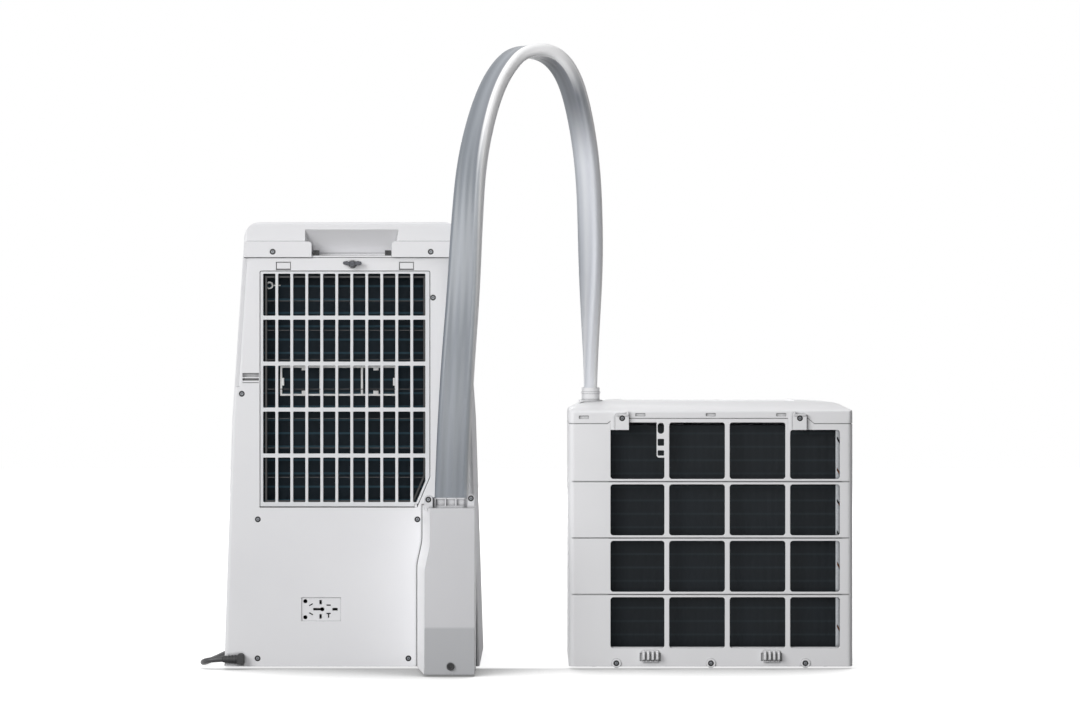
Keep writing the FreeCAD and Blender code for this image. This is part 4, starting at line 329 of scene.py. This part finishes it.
def mouldedPlastic(name, facts, skin):  # satin skin of a spark-eroded mould: faint cloudiness and a fine grain
    material = newMaterial(name)
    place = objectPlace(material)
    cloud = addNode(material, "ShaderNodeTexNoise",
                    {"Vector": place, "Scale": facts["cloud"], "Detail": skin["cloudDetail"]}).outputs["Fac"]
    grain = addNode(material, "ShaderNodeTexVoronoi",
                    {"Vector": place, "Scale": 1000 / facts["grainMm"]}).outputs["Distance"]
    gloss = addNode(material, "ShaderNodeMapRange", {"Value": cloud, "To Min": facts["rough"] - skin["glossSpread"],
                                                     "To Max": facts["rough"] + skin["glossSpread"]}).outputs["Result"]
    edges = addNode(material, "ShaderNodeBevel", {"Radius": facts["edge"]}, samples=skin["edgeSamples"]).outputs["Normal"]
    bump = addNode(material, "ShaderNodeBump", {"Height": grain, "Strength": facts["bump"],
                                                "Distance": skin["grainDepth"], "Normal": edges}).outputs["Normal"]
    colour = addNode(material, "ShaderNodeMixRGB", {"Fac": cloud, "Color1": linear(facts["dark"]),
                                                    "Color2": linear(facts["light"])}).outputs["Color"]
    if "shadedLowTone" in facts:  # painted shade: greyer towards the floor, where the face tucks under
        height = addNode(material, "ShaderNodeSeparateXYZ", {"Vector": place}).outputs["Z"]
        paintedLightMask = addNode(material, "ShaderNodeMapRange",
                       {"Value": height, "From Min": facts["lowZ"][0], "From Max": facts["lowZ"][1],
                        "To Min": 1.0, "To Max": 0.0}).outputs["Result"]
        colour = addNode(material, "ShaderNodeMixRGB",
                         {"Fac": paintedLightMask, "Color1": colour, "Color2": linear(facts["shadedLowTone"])}).outputs["Color"]
    if "litBevelTone" in facts:  # painted highlight: the slanted sides, picked by the way they face, are painted bright
        facing = addNode(material, "ShaderNodeTexCoord").outputs["Normal"]
        turned = addNode(material, "ShaderNodeSeparateXYZ", {"Vector": facing}).outputs["Y"]
        slanted = addNode(material, "ShaderNodeMath", {0: turned, 1: facts["bevelTurn"][0], 2: facts["bevelTurn"][1]},
                          operation="COMPARE").outputs[0]
        colour = addNode(material, "ShaderNodeMixRGB",
                         {"Fac": slanted, "Color1": colour, "Color2": linear(facts["litBevelTone"])}).outputs["Color"]
    if facts.get("wells"):
        # painted shade and dust in joints, screw wells and slots
        colour = dustAndShadeInRecesses(material, colour, wellDustAndShade)
    shader = addNode(material, "ShaderNodeBsdfPrincipled",
                     {"Base Color": colour, "IOR": facts["ior"], "Specular IOR Level": facts.get("specular", 0.5),
                      "Roughness": gloss, "Normal": bump})
    return closeMaterial(material, shader.outputs["BSDF"])


# Each metal: its two tones, how far its lines are drawn out along X, Y and Z, their spacing in mm (drawn coarser than
# the real ones, so that they show), roughness, strength of the lines, radius of the edges in metres, and metalness.
metals = {
    # cold-headed steel, phosphated black, the black flange also standing in for the shade round the head (painted
    # shade); the crown and the cross lighter, worn by the driver and with a painted highlight
    "phosphatedScrew": {"light": "1f2022", "dark": "121214", "stretch": (1, 1, 1), "lineMm": 2.0, "rough": 0.38,
                        "bump": 0.1, "edge": 0.0002, "metallic": 0.3, "wearAndHighlightTone": "8e9196"},
    # cast steel, tumbled and blackened: dark glints and patches
    "burnishedSteel": {"light": "3a3b3e", "dark": "121214", "stretch": (1, 1, 1), "lineMm": 2.5, "rough": 0.28,
                       "bump": 0.1, "edge": 0.0005, "metallic": 1.0},
    # sheet steel, electroplated: patchy light grey sheen
    "zincPlatedSteel": {"light": "b9bbbe", "dark": "8c8f93", "stretch": (1, 1, 1), "lineMm": 3.0, "rough": 0.35,
                        "bump": 0.1, "edge": 0.0004, "metallic": 1.0},
    # pressed steel, stove-enamelled: smooth charcoal
    "enamelledSteel": {"light": "2a2b2e", "dark": "202124", "stretch": (1, 1, 1), "lineMm": 6.0, "rough": 0.40,
                       "bump": 0.1, "edge": 0.0006, "metallic": 0.0},
    # copper tube, drawn along X: warm, with fine lines along it
    "drawnCopper": {"light": "c88a68", "dark": "a9694a", "stretch": (0.1, 1, 1), "lineMm": 2.0, "rough": 0.30,
                    "bump": 0.1, "edge": 0.0003, "metallic": 1.0},
}
metalSkin = {"lineDetail": 4.0, "glossSpread": 0.08, "lineDepth": 0.0001, "edgeSamples": 4}


def workedMetal(name, facts, skin):  # drawn, turned or plated metal: lines along one direction and a soft patchy sheen
    material = newMaterial(name)
    place = objectPlace(material, facts["stretch"])
    lines = addNode(material, "ShaderNodeTexNoise",
                    {"Vector": place, "Scale": 1000 / facts["lineMm"], "Detail": skin["lineDetail"]}).outputs["Fac"]
    gloss = addNode(material, "ShaderNodeMapRange", {"Value": lines, "To Min": facts["rough"] - skin["glossSpread"],
                                                     "To Max": facts["rough"] + skin["glossSpread"]}).outputs["Result"]
    edges = addNode(material, "ShaderNodeBevel", {"Radius": facts["edge"]}, samples=skin["edgeSamples"]).outputs["Normal"]
    bump = addNode(material, "ShaderNodeBump", {"Height": lines, "Strength": facts["bump"],
                                                "Distance": skin["lineDepth"], "Normal": edges}).outputs["Normal"]
    colour = addNode(material, "ShaderNodeMixRGB", {"Fac": lines, "Color1": linear(facts["dark"]),
                                                    "Color2": linear(facts["light"])}).outputs["Color"]
    if "wearAndHighlightTone" in facts:
        # painted highlight and wear: the crown and the cross take the lighter tone
        paintedLightMask = addNode(material, "ShaderNodeAttribute", attribute_name="wear").outputs["Fac"]
        colour = addNode(material, "ShaderNodeMixRGB",
                         {"Fac": paintedLightMask, "Color1": colour, "Color2": linear(facts["wearAndHighlightTone"])}).outputs["Color"]
    shader = addNode(material, "ShaderNodeBsdfPrincipled",
                     {"Base Color": colour, "Metallic": facts["metallic"], "Roughness": gloss, "Normal": bump})
    return closeMaterial(material, shader.outputs["BSDF"])


# rolled aluminium foil fins with a dark water-shedding coat: near black, with a faint line along each tube row
foils = {
    "evaporatorFoil": {"dark": "060e14", "light": "142733", "tube": "32505e", "finMm": 1.6},
    "condenserFoil": {"dark": "0a1014", "light": "182027", "tube": "1f292f", "finMm": 1.8},
}
foilSkin = {"tubeMm": 21, "tubeLine": (0.9, 1.0), "dustPatches": 14.0, "dustDetail": 5.0, "finRelief": 0.9,
            "metallic": 0.35, "rough": 0.45, "bandsInMetre": 3.18}    # a wave of scale 1 repeats 3.18 times in a metre


def coatedFins(name, facts, skin):
    material = newMaterial(name)
    place = objectPlace(material)
    finPitch, tubePitch = facts["finMm"] / 1000, skin["tubeMm"] / 1000
    fins = addNode(material, "ShaderNodeTexWave",
                   {"Vector": place, "Scale": 1 / (finPitch * skin["bandsInMetre"]), "Distortion": 0.0},
                   wave_type="BANDS", bands_direction="X", wave_profile="SIN").outputs["Fac"]
    rows = addNode(material, "ShaderNodeTexWave",
                   {"Vector": place, "Scale": 1 / (tubePitch * skin["bandsInMetre"])},
                   wave_type="BANDS", bands_direction="Z", wave_profile="SIN").outputs["Fac"]
    band = addNode(material, "ShaderNodeMapRange", {"Value": rows, "From Min": skin["tubeLine"][0],
                                                    "From Max": skin["tubeLine"][1]}).outputs["Result"]
    dust = addNode(material, "ShaderNodeTexNoise",
                   {"Vector": place, "Scale": skin["dustPatches"], "Detail": skin["dustDetail"]}).outputs["Fac"]
    coat = addNode(material, "ShaderNodeMixRGB", {"Fac": dust, "Color1": linear(facts["dark"]),
                                                  "Color2": linear(facts["light"])}).outputs["Color"]
    colour = addNode(material, "ShaderNodeMixRGB",
                     {"Fac": band, "Color1": coat, "Color2": linear(facts["tube"])}).outputs["Color"]
    bump = addNode(material, "ShaderNodeBump",
                   {"Height": fins, "Strength": skin["finRelief"], "Distance": finPitch}).outputs["Normal"]
    shader = addNode(material, "ShaderNodeBsdfPrincipled",
                     {"Base Color": colour, "Metallic": skin["metallic"], "Roughness": skin["rough"], "Normal": bump})
    return closeMaterial(material, shader.outputs["BSDF"])


# co-extruded flexible PVC sleeve: long flutes; its tones are painted light and shade: faces lighter and darker by how
# they turn to the light, a white rim along one narrow edge as a painted highlight, and painted shade inside the bend
sleeve = {
    # painted light and shade round the section at the collar, by the share of the outline from the middle of one narrow
    # edge
    "bands": [(0.0, "f4f5f7"), (0.08, "f4f5f7"), (0.11, "a6abb2"), (0.22, "989da5"), (0.38, "a2a7ae"), (0.47, "757b83"),
              (0.56, "757b83"), (0.62, "72787f"), (0.70, "7d838b"), (0.78, "72787f"), (0.90, "70767e"), (0.93, "9ca1a7"),
              (0.965, "f8f9fa")],
    # from and to these lengths in metres the painted light and shade change over: outside of the bend, its inside in
    # painted shade, leg to the socket
    "further": [
        (0.50, 0.64, [(0.0, "fbfbfc"), (0.08, "fbfbfc"), (0.11, "6d7178"), (0.24, "5f636a"), (0.38, "7a7f86"),
                      (0.47, "80858c"), (0.56, "82878e"), (0.64, "7a7f86"), (0.76, "92979e"), (0.88, "84888f"),
                      (0.91, "fbfbfc")]),
        (0.79, 0.87, [(0.0, "8c9096"), (0.05, "696d74"), (0.24, "5f636a"), (0.40, "7a7f86"), (0.50, "8a8e95"),
                      (0.56, "82878e"), (0.76, "92979e"), (0.88, "84888f"), (0.91, "fbfbfc"), (0.975, "fbfbfc"),
                      (0.995, "9da1a7")]),
        (0.86, 0.98, [(0.0, "dfe2e8"), (0.10, "d4d7de"), (0.22, "e2e5ea"), (0.34, "cdd1d8"), (0.44, "a9adb4"),
                      (0.50, "84888f"), (0.56, "82878e"), (0.74, "9a9fa6"), (0.89, "9a9fa6"), (0.915, "f9fafb"),
                      (0.96, "f9fafb"), (0.985, "e1e3e8")]),
    ],
    "streaks": (60, 1.5, 1),    # the extruder's streaks: many round the section, long in the hose's direction
    "streakScale": 3.0, "streakDetail": 2.0, "streakTone": 0.10, "streakRelief": 0.15, "streakDepth": 0.0004,
    "rough": 0.38, "ior": 1.54, "coat": 0.10, "coatRough": 0.2,
}


def aroundHose(material, share, bands):  # colours round the section of the hose
    ramp = addNode(material, "ShaderNodeValToRGB", {"Fac": share})
    ramp.color_ramp.interpolation = "EASE"
    stops = ramp.color_ramp.elements
    while len(stops) < len(bands):
        stops.new(0.5)
    for stop, (position, hexText) in zip(stops, bands):
        stop.position = position
        stop.color = linear(hexText)
    return ramp.outputs["Color"]


def hoseSleeve(name, facts):
    material = newMaterial(name)
    along = addNode(material, "ShaderNodeUVMap", uv_map="alongHose").outputs["UV"]
    split = addNode(material, "ShaderNodeSeparateXYZ", {"Vector": along})
    skin = aroundHose(material, split.outputs["X"], facts["bands"])
    for start, end, bands in facts["further"]:
        share = addNode(material, "ShaderNodeMapRange", {"Value": split.outputs["Y"], "From Min": start, "From Max": end},
                        interpolation_type="SMOOTHSTEP").outputs["Result"]
        skin = addNode(material, "ShaderNodeMixRGB",
                       {"Fac": share, "Color1": skin,
                        "Color2": aroundHose(material, split.outputs["X"], bands)}).outputs["Color"]
    streaks = addNode(material, "ShaderNodeMapping", {"Vector": along, "Scale": facts["streaks"]}).outputs["Vector"]
    noise = addNode(material, "ShaderNodeTexNoise", {"Vector": streaks, "Scale": facts["streakScale"],
                                                     "Detail": facts["streakDetail"]}).outputs["Fac"]
    streaked = addNode(material, "ShaderNodeMixRGB", {"Fac": facts["streakTone"], "Color1": skin, "Color2": noise},
                       blend_type="OVERLAY").outputs["Color"]
    bump = addNode(material, "ShaderNodeBump", {"Height": noise, "Strength": facts["streakRelief"],
                                                "Distance": facts["streakDepth"]}).outputs["Normal"]
    shader = addNode(material, "ShaderNodeBsdfPrincipled",
                     {"Base Color": streaked, "Roughness": facts["rough"], "IOR": facts["ior"], "Normal": bump,
                      "Coat Weight": facts["coat"], "Coat Roughness": facts["coatRough"]})
    return closeMaterial(material, shader.outputs["BSDF"])


materials = {name: mouldedPlastic(name, facts, plasticSkin) for name, facts in plastics.items()}
materials.update({name: workedMetal(name, facts, metalSkin) for name, facts in metals.items()})
materials.update({name: coatedFins(name, facts, foilSkin) for name, facts in foils.items()})
materials["hosePvc"] = hoseSleeve("hosePvc", sleeve)
print("stage 3: materials")

# the CAD nodes, each as a clean mesh with its own finish
castorPlaces = ("rear_left", "rear_right", "front_left", "front_right")
finishes = {
    "indoorAbs": ["rear_panel", "top_cover", "control_panel", "outlet_flap"],
    "shellAbs": ["front_shell"],
    "coverAbs": ["hose_cover", "hose_collar"],
    "grilleAbs": ["intake_grille"],
    "outdoorAsa": ["outdoor_rear_cover", "outdoor_top_cover", "outdoor_front_cover", "outdoor_base", "hanging_brackets",
                   "wall_spacers", "hose_socket"],
    "whitePolypropylene": ["evaporator_support", "coil_sensor"],
    "greyPolypropylene": ["outlet_frame", "condensate_deck", "blower_housing", "blower_wheel", "base_pan"],
    "blackAbs": ["intake_filter", "fan_guard", "outdoor_fan", "electronics_box", "mains_gland", "mains_plug", "cord_tie",
                 "drain_plug", "pocket_cleats"],
    "buttonAbs": ["button_power", "button_mode", "button_lower", "button_raise"],
    "displayAcrylic": ["display_window"],
    "footRubber": ["compressor_mounts", "outdoor_feet"],
    "castorNylon": [part + place for part in ("castor_fork_", "castor_wheel_") for place in castorPlaces],
    "burnishedSteel": ["wing_screw"],
    "zincPlatedSteel": ["condenser_end_plate"],
    "enamelledSteel": ["compressor", "blower_motor", "fan_motor"],
    "drawnCopper": ["evaporator_tubes", "condenser_tubes"],
    "evaporatorFoil": ["evaporator_fins"],
    "condenserFoil": ["condenser_fins"],
}
cordParts = ("mains_gland", "mains_plug", "cord_tie")    # these stay as they are and only get their material
meshFacts = {"merge": 0.00002, "flatDegrees": 1.0, "smoothDegrees": 32}


def camel(name):
    first, *rest = name.split("_")
    return first + "".join(word.capitalize() for word in rest)


def standFor(piece, name):
    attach(piece, bodyOf[name])
    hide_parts(name)
    return piece


def dressNode(name, material):  # a merged, smoothly shaded copy of a CAD node
    piece = linkNew(camel(name), nodes[name].data.copy())
    piece.data.materials.clear()
    piece.data.materials.append(material)
    pick(piece)
    if piece.data.has_custom_normals:
        bpy.ops.mesh.customdata_custom_splitnormals_clear()
    bpy.ops.object.mode_set(mode="EDIT")
    bpy.ops.mesh.select_all(action="SELECT")
    bpy.ops.mesh.remove_doubles(threshold=meshFacts["merge"])
    bpy.ops.mesh.dissolve_limited(angle_limit=math.radians(meshFacts["flatDegrees"]))
    bpy.ops.object.mode_set(mode="OBJECT")
    bpy.ops.object.shade_smooth_by_angle(angle=math.radians(meshFacts["smoothDegrees"]))
    return standFor(piece, name)


# cross-head screw with a flange, its seat at y = 0 and its head towards -Y
screwFacts = {"sides": 24, "shankRadius": 0.0020, "shankLength": 0.0094, "flangeRadius": 0.0045, "flangeHeight": 0.0004,
              "headRadius": 0.0024, "headHeight": 0.0012, "crown": 0.0004, "crossHalf": (0.0016, 0.00035),
              "crossDepth": 0.0006, "wearAndHighlightShare": 1.2, "apart": 0.008}    # no two screws stand nearer than "apart"


def selectFacing(piece, direction, test):  # in edit mode, selects the faces that look one way and pass a test
    bpy.ops.object.mode_set(mode="OBJECT")
    for face in piece.data.polygons:
        face.select = face.normal.dot(Vector(direction)) > 0.99 and test(face.center)
    bpy.ops.object.mode_set(mode="EDIT")


def modelScrew(facts):
    clearSelection()
    bpy.ops.mesh.primitive_cylinder_add(vertices=facts["sides"], radius=facts["shankRadius"], depth=facts["shankLength"],
                                        location=(0, facts["shankLength"] / 2, 0), rotation=(math.pi / 2, 0, 0))
    bpy.ops.object.transform_apply(location=True, rotation=True, scale=True)
    piece = bpy.context.object
    bpy.ops.object.mode_set(mode="EDIT")
    bpy.ops.mesh.select_mode(type="FACE")
    selectFacing(piece, (0, -1, 0), lambda c: c.y < facts["shankLength"] / 2)
    widen = facts["flangeRadius"] / facts["shankRadius"]
    bpy.ops.mesh.extrude_region_move(TRANSFORM_OT_translate={"value": (0, 0, 0)})
    bpy.ops.transform.resize(value=(widen, 1, widen), center_override=(0, 0, 0))
    bpy.ops.mesh.extrude_region_move(TRANSFORM_OT_translate={"value": (0, -facts["flangeHeight"], 0)})
    bpy.ops.mesh.inset(thickness=facts["flangeRadius"] - facts["headRadius"])
    rise = facts["headHeight"] - facts["flangeHeight"] - facts["crown"]
    bpy.ops.mesh.extrude_region_move(TRANSFORM_OT_translate={"value": (0, -rise, 0)})
    bpy.ops.mesh.inset(thickness=facts["crown"], depth=facts["crown"])
    bpy.ops.object.mode_set(mode="OBJECT")
    for wide, high in (facts["crossHalf"], facts["crossHalf"][::-1]):
        clearSelection()
        bpy.ops.mesh.primitive_cube_add(size=1, location=(0, -facts["headHeight"], 0))
        bar = bpy.context.object
        bar.scale = (2 * wide, 2 * facts["crossDepth"], 2 * high)
        bpy.ops.object.transform_apply(location=True, rotation=True, scale=True)
        pick(piece)
        cut = piece.modifiers.new("cross", "BOOLEAN")
        cut.object = bar
        cut.solver = "EXACT"
        bpy.ops.object.modifier_apply(modifier=cut.name)
        pick(bar)
        bpy.ops.object.delete()
    # marks the crown and the cross for the painted highlight and wear
    wear = piece.data.attributes.new("wear", "FLOAT", "FACE")
    wearAndHighlightBelow = facts["crown"] * facts["wearAndHighlightShare"] - facts["headHeight"]  # the crown and the cross
    for face in piece.data.polygons:
        wear.data[face.index].value = 1.0 if face.center.y < wearAndHighlightBelow else 0.0
    return piece


def headPlaces(node, apart):  # the middle of each screw of a CAD node, and the plane its head lies on
    places = []
    for vertex in node.data.vertices:
        x, y, z = vertex.co
        for place in places:
            if abs(place[0] - x) < apart and abs(place[2] - z) < apart:
                place[1] = min(place[1], y)
                place[3] += [x]
                place[4] += [z]
                break
        else:
            places.append([x, y, z, [x], [z]])
    return [((min(xs) + max(xs)) / 2, y, (min(zs) + max(zs)) / 2) for x, y, z, xs, zs in places]


def setScrews(name, model, facts):
    copies = []
    for x, y, z in headPlaces(nodes[name], facts["apart"]):
        copies.append(linkNew(camel(name), model.data.copy()))
        copies[-1].data.transform(Matrix.Translation((x, y + facts["headHeight"], z)))
    screws = copies[0]
    pick(screws)
    for copy in copies:
        copy.select_set(True)
    bpy.ops.object.join()
    bpy.ops.object.shade_smooth_by_angle(angle=math.radians(meshFacts["smoothDegrees"]))
    screws.data.materials.append(materials["phosphatedScrew"])
    return standFor(screws, name)


for finish, names in finishes.items():
    for name in names:
        if name in cordParts:
            for slot in nodes[name].material_slots:
                slot.material = materials[finish]
        else:
            dressNode(name, materials[finish])
screwModel = modelScrew(screwFacts)
for name in ("indoor_screws", "outdoor_screws"):
    setScrews(name, screwModel, screwFacts)
pick(screwModel)
bpy.ops.object.delete()
flatHose.data.materials.append(materials["hosePvc"])
mainsLead.data.materials.append(materials["leadPvc"])
print("stage 4: casing, grilles and machinery")

# pale floor, white surround and soft studio light
studio = {
    "floorSize": 14.0, "floorTone": "909090", "floorBounce": "606060",
    # the floor's own glow under the object and well clear of it, how shut in and how open those places are, and the reach
    "glowUnder": 0.20, "glowClear": 1.00, "shutIn": 0.42, "inTheOpen": 0.84, "shadeReach": 0.26,
    "shadeThins": (-0.10, -0.08), "thinShare": 0.15,    # between these Y the shade thins to this share
    # place, the point it looks at, size, watts, and whether it may glint on faces seen at a flat angle
    "lamps": {
        "keyLamp": ((-6.0, -5.2, 3.9), (0.0, 0.0, 0.35), 4.5, 500, True),
        "fillLamp": ((-0.40, -2.2, 0.75), (-0.10, 0.0, 0.50), 0.8, 13.5, True),
        "topLamp": ((0.0, 0.2, 4.0), (0.0, 0.0, 0.0), 4.5, 56, True),
        "backLamp": ((-0.8, 5.0, 1.6), (0.0, 0.0, 0.4), 2.0, 230, False),
    },
    "ambient": 0.10,
}


def seenDirectly(material):  # 1 where the camera, a reflection or a view through glass meets it
    rays = addNode(material, "ShaderNodeLightPath").outputs
    cameraOrGloss = addNode(material, "ShaderNodeMath", {0: rays["Is Camera Ray"], 1: rays["Is Glossy Ray"]},
                            operation="MAXIMUM").outputs[0]
    return addNode(material, "ShaderNodeMath", {0: cameraOrGloss, 1: rays["Is Transmission Ray"]},
                   operation="MAXIMUM").outputs[0]


def floorMaterial(name, facts):  # matt painted board that glows white, less so where the object shuts it in
    material = newMaterial(name)
    paint = addNode(material, "ShaderNodeBsdfDiffuse", {"Color": linear(facts["floorTone"])}).outputs[0]
    bounce = addNode(material, "ShaderNodeBsdfDiffuse", {"Color": linear(facts["floorBounce"])}).outputs[0]
    openness = addNode(material, "ShaderNodeAmbientOcclusion", {"Distance": facts["shadeReach"]}, samples=16).outputs["AO"]
    shade = addNode(material, "ShaderNodeMapRange",
                    {"Value": openness, "From Min": facts["shutIn"], "From Max": facts["inTheOpen"],
                     "To Min": facts["glowClear"] - facts["glowUnder"], "To Max": 0.0}).outputs["Result"]
    towards = addNode(material, "ShaderNodeSeparateXYZ", {"Vector": objectPlace(material)}).outputs["Y"]
    side = addNode(material, "ShaderNodeMapRange",
                   {"Value": towards, "From Min": facts["shadeThins"][0], "From Max": facts["shadeThins"][1],
                    "To Min": 1.0, "To Max": facts["thinShare"]}).outputs["Result"]
    loss = addNode(material, "ShaderNodeMath", {0: shade, 1: side}, operation="MULTIPLY").outputs[0]
    glow = addNode(material, "ShaderNodeMath", {0: facts["glowClear"], 1: loss}, operation="SUBTRACT").outputs[0]
    lift = addNode(material, "ShaderNodeEmission", {"Color": linear("ffffff"), "Strength": glow}).outputs[0]
    seen = addNode(material, "ShaderNodeAddShader", {0: paint, 1: lift}).outputs[0]
    either = addNode(material, "ShaderNodeMixShader", {"Fac": seenDirectly(material), 1: bounce, 2: seen})
    return closeMaterial(material, either.outputs[0])


clearSelection()
bpy.ops.mesh.primitive_plane_add(size=studio["floorSize"], location=(0, 0, 0))
floor = bpy.context.object
floor.name = "studioFloor"
floor.data.materials.append(floorMaterial("floorPaint", studio))

world = bpy.data.worlds.new("studioAir")
bpy.context.scene.world = world
world.use_nodes = True
world.node_tree.nodes.clear()
ambient = addNode(world, "ShaderNodeBackground", {"Color": linear("ffffff"), "Strength": studio["ambient"]}).outputs[0]
white = addNode(world, "ShaderNodeBackground", {"Color": linear("ffffff"), "Strength": 1.0}).outputs[0]
surround = addNode(world, "ShaderNodeMixShader", {"Fac": seenDirectly(world), 1: ambient, 2: white}).outputs[0]
addNode(world, "ShaderNodeOutputWorld", {"Surface": surround})

for name, (place, target, size, power, glints) in studio["lamps"].items():
    clearSelection()
    bpy.ops.object.light_add(type="AREA", location=place)
    lamp = bpy.context.object
    lamp.name = name
    lamp.data.size = size
    lamp.data.energy = power
    lamp.visible_camera = False
    lamp.visible_glossy = glints
    lamp.rotation_euler = (Vector(target) - Vector(place)).to_track_quat("-Z", "Y").to_euler()
bpy.context.scene.view_settings.view_transform = "Standard"
print("stage 5: studio")
